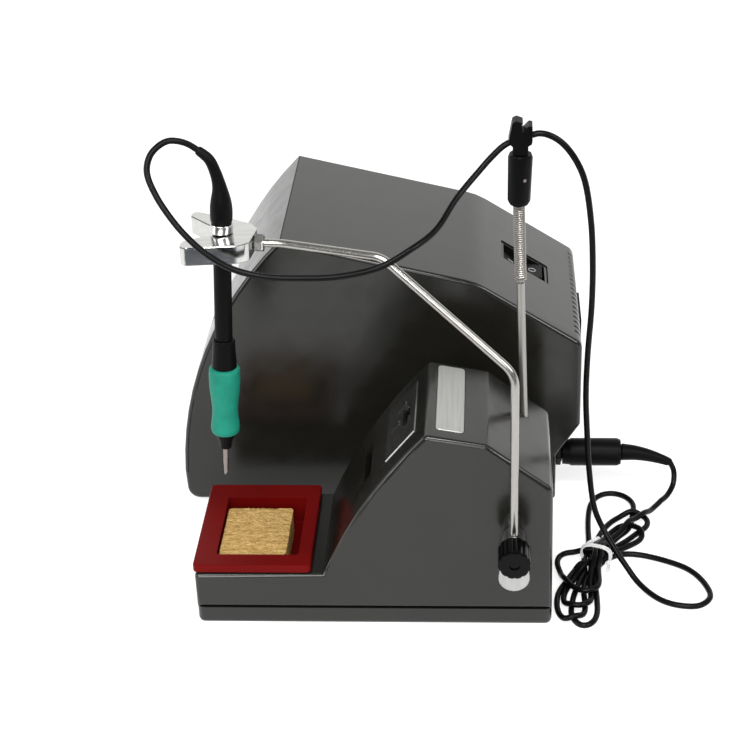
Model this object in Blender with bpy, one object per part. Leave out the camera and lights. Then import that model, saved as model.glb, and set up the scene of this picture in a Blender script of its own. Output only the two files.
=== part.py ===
"""Soldering iron station: a power unit, a tool stand with a sponge tray, a swivelling arm that
holds the iron, a sprung cable guide, and the iron's own cord.

Sizes are written in millimetres on the bench: X runs along the stand from its tray to its back,
Y runs from the tool stand to the power unit, and Z is up from the surface they stand on. The
bench's zero is the stand's front near corner. finish() turns each piece into metres, about the
centre of the whole station's footprint.
"""

import bmesh
import bpy
from math import atan2, ceil, cos, degrees, hypot, pi, radians, sin, sqrt, tau
from mathutils import Matrix, Vector

MM = 0.001
GAP = 0.3  # air between pieces that touch or lie beside each other
CENTRE = Vector((84.5, 98.3, 0.0))  # middle of the footprint, on the bench

# ---- driving dimensions ------------------------------------------------------------------
# Tool stand
STAND_FRONT, STAND_REAR, STAND_NEAR, STAND_FAR = -1.8, 172.0, -1.8, 72.0
STAND_SEAM = 9.4  # where the shell meets the base
PLATFORM = 28.9  # height of the low deck under the tray
SLOPE_FOOT, SLOPE_HEAD, SLOPE_BULGE = (61.0, PLATFORM), (112.0, 107.2), 4.2
STAND_REAR_TOP, STAND_REAR_FOOT = (141.0, 101.7), (171.5, 78.0)
STAND_WALL, STAND_ROUND = 2.5, 3.5
STAND_MID = 36.0
PAD_DEPTH = 1.3  # the stand's rubber pads are let into its base, flush with it
# The tip puller's plate sits at this share of the slope; the spare tips' slot is below it
PLATE_SHARE, PLATE_LENGTH, PLATE_WIDTH, PLATE_THICK = 0.80, 23.0, 48.0, 1.4
PULLER_HOLE, TIP_SLOT_SHARE = 4.2, 0.49
NAME_PLATE = (116.5, 6.0, 130.0, 68.0)
STAND_POSTS = [(x, STAND_MID) for x in (57.0, 166.0)]
PIVOT_SCREW_Z = (34.0, 47.0)
# Sponge tray
TRAY_RIM = (-2.6, -0.8, 55.2, 73.0)  # x, y, x, y
TRAY_WELL = (8.0, 9.0, 48.5, 60.5)
TRAY_TOP, TRAY_FLOOR, TRAY_WALL = 33.4, 18.8, 1.8
SPONGE = (8.6, 10.0, 42.5, 52.5)
# Pivot, arm and fork
ROD = 1.95
POST = Vector((153.3, -9.0))
PIVOT_LOW, PIVOT_HIGH = (36.1, 7.4), (53.0, 5.0)  # heights and radii of the block's two rounds
PIVOT_DEPTH = 14.5
KNOB_Z, KNOB_R, KNOB_LENGTH, FLUTES = 52.5, 7.8, 12.6, 12
ARM_HEADING, ARM_RISE_Z, ARM_TOP_Z = radians(17.8), 143.6, 192.9
ARM_REACH = 62.4  # plan distance from the post to the upper bend
FORK_HEADING, FORK_END = radians(5.0), Vector((35.0, 26.6))
FORK_THICK, SEAT_AT, SEAT_R = 9.0, 15.1, 4.9
FORK_TOP = ARM_TOP_Z + FORK_THICK / 2
# The iron hangs in the fork's seat
IRON_R, IRON_LEAN = 4.2, radians(3.1)  # its foot leans towards the stand's front
# Cable guide
GUIDE_FOOT, GUIDE_LEAN = Vector((158.7, 52.0, 86.6)), radians(1.6)
GUIDE_BEND, HEAD_FOOT, GUIDE_CLIP, CLIP_DEPTH = 76.0, 113.6, 139.1, 8.0  # distances up the guide
SPRING_FOOT, CLIP_HALF = 74.0, 5.5
HEAD_LEAN = radians(2.9)  # the head sits straighter than the rod below its spring
CORD_IN, CORD_MID, CORD_OUT = (-7.0, 0.0, 3.4), (0.5, 0.0, 6.9), (7.5, 0.0, 9.0)  # in the clip
# Power unit
NEAR, FAR = 108.0, 224.0  # its two side faces
FRONT_TOP, FRONT_FOOT, FRONT_BULGE = (36.0, 156.0), (-23.0, 19.3), 14.2
FRONT_THICK = 1.8
RIDGE, REAR_TOP, REAR_WALL_FOOT = (135.1, 132.0), (189.7, 97.0), (189.7, 48.5)
UNDERCUT_FOOT, UNIT_WALL, UNIT_ROUND = (177.3, 29.2), 2.5, 5.0
CHIN = 1.8
UNIT_POSTS = [(125.0, y) for y in (NEAR + 6.2, FAR - 6.2)]
INLET_Y, INLET_Z, INLET_W, INLET_H = 178.0, 71.0, 27.5, 20.0
VENTS, VENT_PITCH = 18, 5.6
WINDOW = (0.30, 0.52, 146.0, 198.0)  # shares of the way down the front, then Y
BUTTONS = (("button_down", 156.0), ("button_set", 172.0), ("button_up", 188.0))
BUTTON_SHARE, BUTTON_R = 0.68, 4.2
# Switch on the rear slope
SWITCH_AT, SWITCH_LENGTH, SWITCH_WIDTH = 161.0, 30.0, 22.0
UNIT_MID = (NEAR + FAR) / 2
# Cord
CORD = 1.5
PLUG_Y, PLUG_Z = 124.0, 22.3


# ---- materials ---------------------------------------------------------------------------
def paint(name, colour, roughness, metallic=0.0):
    m = bpy.data.materials.new(name)
    m.use_nodes = True
    shader = m.node_tree.nodes["Principled BSDF"]
    shader.inputs["Base Color"].default_value = (*colour, 1.0)
    shader.inputs["Roughness"].default_value = roughness
    shader.inputs["Metallic"].default_value = metallic
    m.diffuse_color = (*colour, 1.0)
    return m


# ---- outlines ----------------------------------------------------------------------------
def rounded(corners, step=18.0):
    """A closed outline from (u, v, radius) corners, each round stretch as an arc."""
    out = []
    for i, (u, v, r) in enumerate(corners):
        here = Vector((u, v))
        back = (Vector(corners[i - 1][:2]) - here).normalized()
        on = (Vector(corners[(i + 1) % len(corners)][:2]) - here).normalized()
        half = back.angle(on) / 2
        if r <= 0 or half > radians(89):
            out.append(here)
            continue
        centre = here + (back + on).normalized() * (r / sin(half))
        start = here + back * (r * cos(half) / sin(half)) - centre
        turn = pi - 2 * half
        if start.x * back.y - start.y * back.x > 0:
            turn = -turn
        steps = max(1, ceil(degrees(abs(turn)) / step))
        for k in range(steps + 1):
            a = turn * k / steps
            c, s = cos(a), sin(a)
            out.append(centre + Vector((start.x * c - start.y * s, start.x * s + start.y * c)))
    return out


def bulged(p, q, bulge, steps, inset=0.0):
    """Points on the arc from p to q that stands bulge to the left of their chord."""
    p, q = Vector(p), Vector(q)
    chord = q - p
    left = Vector((-chord.y, chord.x)).normalized()
    r = (chord.length ** 2 / 4 + bulge ** 2) / (2 * bulge)
    centre = (p + q) / 2 + left * (bulge - r)
    a, b = (atan2((e - centre).y, (e - centre).x) for e in (p, q))
    if abs(b - a) > pi:
        b += tau if b < a else -tau
    turn = [a + (b - a) * k / steps for k in range(steps + 1)]
    return [centre + Vector((cos(t), sin(t))) * (r - inset) for t in turn]


def hull_of_rounds(low, high, steps=10):
    """The outline round two circles ((u, v), radius), one above the other along any line."""
    (c0, r0), (c1, r1) = low, high
    c0, c1 = Vector(c0), Vector(c1)
    way = c1 - c0
    lean, along = sin_to_angle((r0 - r1) / way.length), atan2(way.y, way.x)
    side = pi / 2 - lean
    out = []
    for k in range(steps + 1):
        a = along + side + (tau - 2 * side) * k / steps
        out.append(c0 + Vector((cos(a), sin(a))) * r0)
    for k in range(steps + 1):
        a = along - side + 2 * side * k / steps
        out.append(c1 + Vector((cos(a), sin(a))) * r1)
    return out


def sin_to_angle(value):
    return atan2(value, sqrt(1 - value * value))


def box_outline(x0, y0, x1, y1, r):
    return rounded([(x0, y0, r), (x1, y0, r), (x1, y1, r), (x0, y1, r)])


def racetrack(length, width):
    """A slot's outline about zero, its long way along v."""
    h, w = length / 2, width / 2
    return rounded([(-w, -h, w * 0.999), (w, -h, w * 0.999), (w, h, w * 0.999), (-w, h, w * 0.999)])


def regular(radius, sides, turn=0.0):
    return [Vector((cos(turn + tau * k / sides), sin(turn + tau * k / sides))) * radius
            for k in range(sides)]


# ---- solids ------------------------------------------------------------------------------
UP = Matrix.Identity(4)
ALONG_Y = Matrix(((1, 0, 0, 0), (0, 0, 1, 0), (0, 1, 0, 0), (0, 0, 0, 1)))  # (u, v, w) to (u, w, v)


def frame(origin, u, v):
    """The placing of a local (u, v, w) frame, w square to u and v."""
    u, v = Vector(u).normalized(), Vector(v).normalized()
    w = u.cross(v).normalized()
    return Matrix.Translation(Vector(origin)) @ Matrix((u, v, w)).transposed().to_4x4()


def closed(bm):
    bmesh.ops.remove_doubles(bm, verts=bm.verts, dist=0.002)
    bmesh.ops.recalc_face_normals(bm, faces=bm.faces)
    return bm


def prism(outline, low, high, place=UP, soft_low=0.0, soft_high=0.0, steps=2):
    """The outline pulled from w = low to w = high; the soft widths round its two rims."""
    bm = bmesh.new()
    base = bm.faces.new([bm.verts.new((u, v, low)) for u, v in outline])
    top = bmesh.ops.extrude_face_region(bm, geom=[base])
    lifted = [e for e in top["geom"] if isinstance(e, bmesh.types.BMVert)]
    bmesh.ops.translate(bm, verts=lifted, vec=(0, 0, high - low))
    for height, width in ((low, soft_low), (high, soft_high)):
        if width:
            rim = [e for e in bm.edges if all(abs(v.co.z - height) < 1e-4 for v in e.verts)]
            bmesh.ops.bevel(bm, geom=rim, offset=width, segments=steps, profile=0.5,
                            affect="EDGES", clamp_overlap=True)
    bmesh.ops.transform(bm, matrix=place, verts=bm.verts)
    return closed(bm)


def block(x0, y0, z0, x1, y1, z1, r=0.0, soft=0.0):
    return prism(box_outline(x0, y0, x1, y1, r), z0, z1, soft_high=soft, soft_low=soft, steps=1)


def turned(profile, place=UP, sides=24, ring=False):
    """A (radius, height) profile spun about the frame's w axis; a ring's profile is closed."""
    bm = bmesh.new()
    points = [bm.verts.new((r, 0, h)) for r, h in profile]
    pairs = zip(points, points[1:] + points[:1]) if ring else zip(points, points[1:])
    lines = [bm.edges.new(pair) for pair in pairs]
    bmesh.ops.spin(bm, geom=points + lines, cent=(0, 0, 0), axis=(0, 0, 1), angle=tau,
                   steps=sides, use_merge=True, use_duplicate=False)
    bmesh.ops.transform(bm, matrix=place, verts=bm.verts)
    return closed(bm)


def capped(profile):
    """A turned solid's profile with both ends on the axis."""
    return [(0.0, profile[0][1]), *profile, (0.0, profile[-1][1])]


def rod(radius, start, end, sides=16, soft=0.0):
    start, end = Vector(start), Vector(end)
    w = (end - start).normalized()
    u = w.orthogonal().normalized()
    long = (end - start).length
    if soft:
        profile = [(radius - soft, 0), (radius, soft), (radius, long - soft), (radius - soft, long)]
    else:
        profile = [(radius, 0), (radius, long)]
    return turned(capped(profile), frame(start, u, w.cross(u)), sides)


def boolean(bm, tools, operation):
    """bm with each tool's mesh cut out of it or joined on to it."""
    def thing(name, source):
        mesh = bpy.data.meshes.new(name)
        source.to_mesh(mesh)
        source.free()
        obj = bpy.data.objects.new(name, mesh)
        bpy.context.scene.collection.objects.link(obj)
        return obj

    body = thing("body", bm)
    cutters = [thing("tool", tool) for tool in tools]
    for cutter in cutters:
        step = body.modifiers.new("step", "BOOLEAN")
        step.operation, step.object, step.solver = operation, cutter, "EXACT"
    bpy.context.view_layer.update()
    result = bpy.data.meshes.new_from_object(body.evaluated_get(bpy.context.evaluated_depsgraph_get()))
    out = bmesh.new()
    out.from_mesh(result)
    bmesh.ops.remove_doubles(out, verts=out.verts, dist=0.004)
    for obj in (body, *cutters):
        mesh = obj.data
        bpy.data.objects.remove(obj)
        bpy.data.meshes.remove(mesh)
    bpy.data.meshes.remove(result)
    return out


def cut(bm, *tools):
    return boolean(bm, tools, "DIFFERENCE")


def fuse(bm, *tools):
    return boolean(bm, tools, "UNION")


def finish(name, bm, material, pivot=CENTRE):
    """Makes the named object, in metres, with its origin at the pivot."""
    pivot = Vector(pivot)
    for v in bm.verts:
        v.co = (v.co - pivot) * MM
    mesh = bpy.data.meshes.new(name)
    bm.to_mesh(mesh)
    bm.free()
    mesh.materials.append(material)
    mesh.shade_smooth()
    mesh.set_sharp_from_angle(angle=radians(32))
    obj = bpy.data.objects.new(name, mesh)
    obj.location = (pivot - CENTRE) * MM
    bpy.context.scene.collection.objects.link(obj)
    return obj


# ---- lines and tubes ---------------------------------------------------------------------
def bent(corners, steps=6):
    """A 3-D line through (point, bend radius) corners, each bend as an arc."""
    points = [Vector(p) for p, _ in corners]
    out = [points[0]]
    for i in range(1, len(points) - 1):
        here, r = points[i], corners[i][1]
        back, on = (points[i - 1] - here).normalized(), (points[i + 1] - here).normalized()
        half = back.angle(on) / 2
        centre = here + (back + on).normalized() * (r / sin(half))
        start = here + back * (r * cos(half) / sin(half)) - centre
        axis, turn = back.cross(start).normalized(), pi - 2 * half
        out += [centre + Matrix.Rotation(turn * k / steps, 3, axis) @ start for k in range(steps + 1)]
    return [*out, points[-1]]


def smooth(route, count):
    """count points, evenly spaced, on the smooth curve through the route's own points."""
    route = [Vector(p) for p in route]
    knots = [2 * route[0] - route[1], *route, 2 * route[-1] - route[-2]]
    fine = []
    for a, b, c, d in zip(knots, knots[1:], knots[2:], knots[3:]):
        t0, t1, t2 = (sqrt(max((q - p).length, 1e-6)) for p, q in ((a, b), (b, c), (c, d)))
        m1 = ((b - a) / t0 - (c - a) / (t0 + t1) + (c - b) / t1) * t1
        m2 = ((c - b) / t1 - (d - b) / (t1 + t2) + (d - c) / t2) * t1
        for k in range(16):
            s = k / 16
            h = (2 * s**3 - 3 * s**2 + 1, s**3 - 2 * s**2 + s, 3 * s**2 - 2 * s**3, s**3 - s**2)
            fine.append(b * h[0] + m1 * h[1] + c * h[2] + m2 * h[3])
    fine.append(route[-1])
    along = [0.0]
    for p, q in zip(fine, fine[1:]):
        along.append(along[-1] + (q - p).length)
    out, j = [], 0
    for k in range(count):
        want = along[-1] * k / (count - 1)
        while j < len(fine) - 2 and along[j + 1] < want:
            j += 1
        out.append(fine[j].lerp(fine[j + 1], (want - along[j]) / (along[j + 1] - along[j])))
    return out


def tube(name, points, radius, material, resolution=2, radii=None, pivot=CENTRE):
    """A round bar, lead or tapered boot along a line."""
    pivot = Vector(pivot)
    curve = bpy.data.curves.new(name, "CURVE")
    curve.dimensions = "3D"
    curve.bevel_depth, curve.bevel_resolution, curve.use_fill_caps = radius * MM, resolution, True
    line = curve.splines.new("POLY")
    line.points.add(len(points) - 1)
    for i, p in enumerate(points):
        line.points[i].co = (*((Vector(p) - pivot) * MM), 1.0)
        line.points[i].radius = radii[i] / radius if radii else 1.0
    line.use_smooth = True
    curve.materials.append(material)
    obj = bpy.data.objects.new(name, curve)
    obj.location = (pivot - CENTRE) * MM
    bpy.context.scene.collection.objects.link(obj)
    return obj


# ---- shared shapes -----------------------------------------------------------------------
def screws(name, places, head_r, head_h, shank_r, length, material, way=(0, 0, 1)):
    """Pan-head screws; each place is the head's outer face, and way is where the shank goes."""
    way = Vector(way)
    u = way.orthogonal().normalized()
    profile = [(head_r * 0.8, 0), (head_r, head_h * 0.4), (head_r, head_h), (shank_r, head_h),
               (shank_r, length)]
    for i, p in enumerate(places):
        screw = turned(capped(profile), frame(p, u, way.cross(u)), 12)
        finish(f"{name}_{i + 1}", screw, material)


def feet(name, places, radius, height, material):
    for i, (x, y) in enumerate(places):
        profile = [(radius, 0.0), (radius, height * 0.6), (radius - 0.6, height)]
        foot = turned(capped(profile), Matrix.Translation((x, y, 0)), 16)
        finish(f"{name}_{i + 1}", foot, material)


def side_prism(outline, y0, y1, soft=0.0, steps=2):
    """An (x, z) outline pulled along Y, both rims rounded."""
    return prism(outline, y0, y1, ALONG_Y, soft, soft, steps)


# ---- tool stand --------------------------------------------------------------------------
def stand_outline(inset=0.0, floor=STAND_SEAM + GAP / 2):
    """The stand's side view: low deck, bulging slope, short top and rear slope."""
    slope = bulged(SLOPE_FOOT, SLOPE_HEAD, SLOPE_BULGE, 7, inset)
    head, rear_top, rear_foot = Vector(SLOPE_HEAD), Vector(STAND_REAR_TOP), Vector(STAND_REAR_FOOT)
    drop = inset
    front = STAND_FRONT + inset
    corners = [(front, floor, 0), (front, PLATFORM - drop, 2.0 if not inset else 0.5)]
    foot = slope[0] if not inset else Vector((SLOPE_FOOT[0] + inset * 0.62, PLATFORM - inset))
    corners.append((foot.x, foot.y, 0))
    corners += [(p.x, p.y, 0) for p in slope[1:-1]]
    corners += [(head.x + inset * 0.55, head.y - drop * 1.15, 4.0),
                (rear_top.x - inset * 0.35, rear_top.y - drop * 1.12, 4.0),
                (rear_foot.x - inset, rear_foot.y - drop * 0.6, 5.0),
                (STAND_REAR - inset, floor, 0)]
    return rounded(corners)


def slope_place(share, y):
    """A frame on the bulging slope: u up the slope, v along -Y, w into the stand."""
    a, b = bulged(SLOPE_FOOT, SLOPE_HEAD, SLOPE_BULGE, 100)[int(share * 100):][:2]
    return frame((a.x, y, a.y), (b.x - a.x, 0, b.y - a.y), (0, -1, 0))


def top_place(x0, x1, y):
    """A frame on the stand's short top: u towards the back, v along -Y, w down into it."""
    a, b = Vector(SLOPE_HEAD), Vector(STAND_REAR_TOP)
    u = (b - a).normalized()
    at = a + u * (((x0 + x1) / 2 - a.x) / u.x)
    return frame((at.x, y, at.y), (u.x, 0, u.y), (0, -1, 0))


def tool_stand(m):
    shell = side_prism(stand_outline(), STAND_NEAR, STAND_FAR, STAND_ROUND)
    hollow = side_prism(stand_outline(STAND_WALL, 0.0), STAND_NEAR + STAND_WALL, STAND_FAR - STAND_WALL)
    shell = cut(shell, hollow)
    posts = [rod(3.6, (x, y, STAND_SEAM + GAP), (x, y, PLATFORM - 1.0), 12) for x, y in STAND_POSTS]
    shell = fuse(shell, *posts)
    x0, y0, x1, y1 = TRAY_WELL
    slack = TRAY_WALL + 0.5
    pocket = block(x0 - slack, y0 - slack, 20.0, x1 + slack, y1 + slack, 40.0, 2.0)
    plate = slope_place(PLATE_SHARE, STAND_MID)
    half_l, half_w = PLATE_LENGTH / 2 + GAP, PLATE_WIDTH / 2 + GAP
    recess = prism(box_outline(-half_l, -half_w, half_l, half_w, 0.8), -4.0, PLATE_THICK, plate)
    hole = plate @ Matrix.Translation((PULLER_HOLE, 0, 0))
    mouth = prism(racetrack(18.6, 6.8), -2.0, 8.0, hole)
    slot = prism(racetrack(31.0, 6.0), -6.0, 8.0, slope_place(TIP_SLOT_SHARE, STAND_MID))
    name_x0, name_y0, name_x1, name_y1 = NAME_PLATE
    long, wide = (name_x1 - name_x0) / 2 + GAP, (name_y1 - name_y0) / 2 + GAP
    name_bed = prism(box_outline(-long, -wide, long, wide, 2.3), -3.0, 0.9,
                     top_place(name_x0, name_x1, (name_y0 + name_y1) / 2))
    foot, lean = GUIDE_FOOT, guide_way()
    bore = rod(2.3, foot - lean * 12, foot + lean * 14, 16)
    holes = [rod(1.8, (POST.x, -4.0, z), (POST.x, 5.0, z), 12) for z in PIVOT_SCREW_Z]
    threads = [rod(1.5, (x, y, 5.0), (x, y, 24.0), 10) for x, y in STAND_POSTS]
    shell = cut(shell, pocket, recess, mouth, slot, name_bed, bore, *holes, *threads)
    finish("stand_shell", shell, m["case"])

    base = prism(box_outline(STAND_FRONT, STAND_NEAR, STAND_REAR, STAND_FAR, STAND_ROUND), 0.0,
                 STAND_SEAM - GAP / 2, soft_low=2.0)
    w = STAND_WALL
    room = block(STAND_FRONT + w, STAND_NEAR + w, 3.9, STAND_REAR - w, STAND_FAR - w, 20.0, 1.5)
    base = cut(base, room)
    bosses = [rod(4.0, (x, y, 3.0), (x, y, STAND_SEAM - GAP), 12) for x, y in STAND_POSTS]
    base = fuse(base, *bosses)
    sinks = [turned(capped([(3.2, 0), (3.2, 4.4), (1.6, 4.4), (1.6, 12)]),
                    Matrix.Translation((x, y, 0)), 12) for x, y in STAND_POSTS]
    pads = [(x, y) for x in (20.0, 151.0) for y in (12.0, 60.0)]
    pockets = [rod(5.5 + GAP, (x, y, -1.0), (x, y, PAD_DEPTH), 16) for x, y in pads]
    finish("stand_base", cut(base, *sinks, *pockets), m["case"])
    heads = [(x, y, 1.9) for x, y in STAND_POSTS]
    screws("stand_screw", heads, 2.8, 2.2, 1.2, 20.0, m["steel"])
    feet("stand_foot", pads, 5.5, PAD_DEPTH - GAP, m["rubber"])
    ballast = block(16, 10.5, 4.2, 155, 61.5, 8.0, 2.0)
    holes = [rod(4.6, (x, y, 0.0), (x, y, 12.0), 12) for x, y in STAND_POSTS]
    finish("ballast_plate", cut(ballast, *holes), m["steel"])

    half_l, half_w = PLATE_LENGTH / 2, PLATE_WIDTH / 2
    top = prism(box_outline(-half_l, -half_w, half_l, half_w, 0.5), -0.5, PLATE_THICK - GAP, plate,
                soft_low=0.5, steps=1)
    ribs = [prism(box_outline(u, v, u + 6.0, v + 1.0, 0.3), -1.1, 0.3, plate)
            for u, v in ((-3.0, -14.6), (-3.0, -12.0), (-7.4, -1.8), (-7.4, 0.8))]
    top = fuse(top, *ribs)
    finish("tip_puller_plate", cut(top, prism(racetrack(17.6, 5.8), -3.0, 6.0, hole)), m["dark_steel"])

    long, wide = (name_x1 - name_x0) / 2, (name_y1 - name_y0) / 2
    badge = prism(box_outline(-long, -wide, long, wide, 2.0), -0.5, 0.6,
                  top_place(name_x0, name_x1, (name_y0 + name_y1) / 2), soft_low=0.3, steps=1)
    finish("name_plate", badge, m["badge"])


def sponge_tray(m):
    x0, y0, x1, y1 = TRAY_RIM
    deck = PLATFORM + GAP
    tray = prism(box_outline(x0, y0, x1, y1, 2.5), deck, TRAY_TOP, soft_high=0.8, soft_low=0.5)
    x0, y0, x1, y1 = TRAY_WELL
    w = TRAY_WALL
    tub = block(x0 - w, y0 - w, TRAY_FLOOR - w, x1 + w, y1 + w, deck + 1.0, 2.0)
    well = prism(box_outline(x0, y0, x1, y1, 1.5), TRAY_FLOOR, 40.0)
    finish("sponge_tray", cut(fuse(tray, tub), well), m["red"])
    x0, y0, x1, y1 = SPONGE
    pad = block(x0, y0, TRAY_FLOOR + GAP, x1, y1, TRAY_TOP - 0.8, 1.5, 0.8)
    finish("sponge", pad, m["sponge"])


# ---- pivot, arm and fork -----------------------------------------------------------------
def fork_frame(lift=0.0):
    """u towards the fork's mouth, v towards the power unit, w down."""
    c, s = cos(FORK_HEADING), sin(FORK_HEADING)
    return frame((FORK_END.x, FORK_END.y, ARM_TOP_Z + lift), (-c, s, 0), (s, c, 0))


def arm_line():
    """The bent rod's centre line, from inside the pivot block to inside the fork."""
    way = Vector((-cos(ARM_HEADING), sin(ARM_HEADING)))
    upper = POST + way * ARM_REACH
    c, s = cos(FORK_HEADING), sin(FORK_HEADING)
    into = Vector((-c, s))
    meet = FORK_END - into * 13.0
    return bent([((POST.x, POST.y, 42.5), 0), ((POST.x, POST.y, ARM_RISE_Z), 13.0),
                 ((upper.x, upper.y, ARM_TOP_Z), 11.0), ((meet.x, meet.y, ARM_TOP_Z), 25.0),
                 ((FORK_END.x + into.x * 8, FORK_END.y + into.y * 8, ARM_TOP_Z), 0)])


def pivot_and_knob(m):
    low, high = ((POST.x, PIVOT_LOW[0]), PIVOT_LOW[1]), ((POST.x, PIVOT_HIGH[0]), PIVOT_HIGH[1])
    body = prism(hull_of_rounds(low, high, 12), -PIVOT_DEPTH, STAND_NEAR - GAP, ALONG_Y,
                 soft_low=0.5, steps=1)
    rod_bore = rod(ROD + GAP, (POST.x, POST.y, 41.5), (POST.x, POST.y, 70.0), 16)
    stud_bore = rod(1.8, (POST.x, -PIVOT_DEPTH - 2, KNOB_Z), (POST.x, POST.y, KNOB_Z), 12)
    blind = [rod(1.5, (POST.x, -5.5, z), (POST.x, 2.0, z), 12) for z in PIVOT_SCREW_Z]
    finish("pivot_block", cut(body, rod_bore, stud_bore, *blind), m["aluminium"])
    heads = [(POST.x, STAND_NEAR + STAND_WALL + 2.3, z) for z in PIVOT_SCREW_Z]
    screws("pivot_screw", heads, 3.0, 2.0, 1.2, 7.2, m["steel"], (0, -1, 0))

    back = -PIVOT_DEPTH - GAP
    front = back - KNOB_LENGTH
    lobes = []
    for k in range(FLUTES * 6):
        a = tau * k / (FLUTES * 6)
        r = KNOB_R - 0.45 * max(0.0, cos(a * FLUTES)) ** 2
        lobes.append(Vector((POST.x + r * cos(a), KNOB_Z + r * sin(a))))
    knob = prism(lobes, front, back, ALONG_Y, soft_low=1.2, soft_high=0.6, steps=2)
    face = frame((POST.x, front, KNOB_Z), (1, 0, 0), (0, 0, -1))
    dimple = turned(capped([(2.6, -2.0), (2.6, 0.9)]), face, 16)
    socket = rod(1.8, (POST.x, back + 2, KNOB_Z), (POST.x, back - 8, KNOB_Z), 12)
    pivot = (POST.x, back, KNOB_Z)
    finish("clamp_knob", cut(knob, dimple, socket), m["black"], pivot)
    stud = rod(1.5, (POST.x, POST.y - ROD - 0.5, KNOB_Z), (POST.x, back - 7.6, KNOB_Z), 12)
    finish("clamp_stud", stud, m["steel"], pivot)


def fork_outline():
    """The near prong, the open mouth and the longer far prong, from the arm's end round."""
    return rounded([(0.5, -11.0, 4.0), (6.0, -14.2, 7.0), (30.9, -18.7, 3.2), (31.4, -10.8, 3.4),
                    (14.9, 1.2, 1.5), (33.4, 17.3, 2.2), (33.8, 23.9, 2.6), (13.2, 15.8, 6.0),
                    (3.4, 11.5, 8.0), (-0.4, 6.6, 4.5)])


def arm_and_fork(m):
    pivot = (POST.x, POST.y, PIVOT_HIGH[0])
    tube("arm_rod", arm_line(), ROD, m["steel"], 3, pivot=pivot)
    place = fork_frame()
    fork = prism(fork_outline(), -FORK_THICK / 2, FORK_THICK / 2, place, 0.4, 0.4, 1)
    seat = prism(regular(SEAT_R, 24), -20, 20, place @ Matrix.Translation((SEAT_AT, 0, 0)))
    lead_in = prism(box_outline(SEAT_AT, -4.4, SEAT_AT + 8, 4.4, 0), -20, 20, place)
    thread = prism(regular(ROD + GAP, 16), -1, 8.6,
                   place @ Matrix(((0, 0, 1, 0), (1, 0, 0, 0), (0, 1, 0, 0), (0, 0, 0, 1))))
    finish("tool_fork", cut(fork, seat, lead_in, thread), m["aluminium"], pivot)
    nut_place = place @ Matrix(((0, 0, -1, GAP * -1), (1, 0, 0, 0), (0, 1, 0, 0), (0, 0, 0, 1)))
    nut = prism(regular(4.3, 6, pi / 6), 0, 4.2, nut_place, 0.5, 0.5, 1)
    bore = prism(regular(ROD + GAP, 16), -1, 6, nut_place)
    finish("fork_nut", cut(nut, bore), m["steel"], pivot)


# ---- the iron ----------------------------------------------------------------------------
def iron_place():
    """The iron's axis: through the middle of the fork's seat, w up along it, zero near the bench."""
    at = fork_frame() @ Vector((SEAT_AT, 0, 0))
    lean = Matrix.Rotation(IRON_LEAN, 4, "Y")
    return Matrix.Translation(at) @ lean @ Matrix.Translation((0, 0, -ARM_TOP_Z))


BOOT_START, BOOT_END = FORK_TOP + 5.1, Vector((13.2, 28.0, 236.9))


def boot_line(place):
    route = [(0, 0, BOOT_START), (0, 0, 208), (-0.1, 0, 214), (-0.6, 0, 220), (-2.5, 0, 227.4),
             (-5.1, 0, 233)]
    return smooth([*(place @ Vector(p) for p in route), BOOT_END], 15)


def soldering_iron(m):
    place = iron_place()
    top = FORK_TOP + GAP + 0.3
    pivot = place @ Vector((0, 0, top))

    def turn(name, profile, material, sides=24, ring=False):
        finish(name, turned(profile if ring else capped(profile), place, sides, ring), material, pivot)

    turn("handle_collar", [(5.0, top), (5.25, top + 0.3), (5.25, top + 3.8), (5.0, top + 4.2)], m["chrome"])
    turn("handle_tube", [(IRON_R, 143.0), (IRON_R, top - GAP)], m["black"])
    turn("handle_sleeve", [(4.9, 142.7), (5.3, 141.8), (5.5, 136.0), (5.95, 130.0), (5.95, 128.1)][::-1],
         m["black"])
    grip = [(6.9, 127.8), (7.35, 126.6), (7.5, 121.5), (7.2, 115.5), (6.5, 109.5), (6.15, 105.5),
            (6.25, 101.5), (6.75, 97.5), (7.0, 94.5), (6.7, 92.6), (6.1, 92.0)]
    turn("grip_sleeve", [(5.9, 127.8), *grip[:-1], (6.1, 92.0)][::-1], m["green"])
    turn("nose_cone", [(2.5, 83.2), (2.9, 83.6), (3.3, 86.5), (4.35, 89.8), (4.5, 91.7)], m["black"], 20)
    tip = turned(capped([(0.5, 67.0), (1.05, 68.6), (1.1, 72.0), (1.3, 74.5), (1.3, 82.9)]), place, 14)
    bevel = block(-5, -5, -10, 5, 5, 0)
    tilt = place @ Matrix.Translation((0, 0, 68.6)) @ Matrix.Rotation(radians(-58), 4, "Y")
    bmesh.ops.transform(bevel, matrix=tilt, verts=bevel.verts)
    finish("tip_cartridge", cut(tip, bevel), m["steel"], pivot)
    line = boot_line(place)
    radii = [5.0, 5.15, 5.2, 5.1, 4.7, 4.1, 3.5, 3.1, 2.85, 2.7, 2.6, 2.5, 2.4, 2.3, 2.2]
    tube("handle_boot", line, 5.2, m["rubber"], 3, radii, pivot)


# ---- cable guide -------------------------------------------------------------------------
def guide_way():
    return Vector((-sin(GUIDE_LEAN), 0, cos(GUIDE_LEAN)))


def guide_place():
    """The rod's frame: w up it, u towards the back, v towards the power unit."""
    w = guide_way()
    u = Vector((w.z, 0, -w.x))
    return frame(GUIDE_FOOT, u, w.cross(u))


def head_place():
    """The sleeve's and clip's frame: the rod's, tipped where the spring ends in the sleeve."""
    turn = Matrix.Translation((0, 0, HEAD_FOOT)) @ Matrix.Rotation(HEAD_LEAN, 4, "Y")
    return guide_place() @ turn @ Matrix.Translation((0, 0, -HEAD_FOOT))


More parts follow.
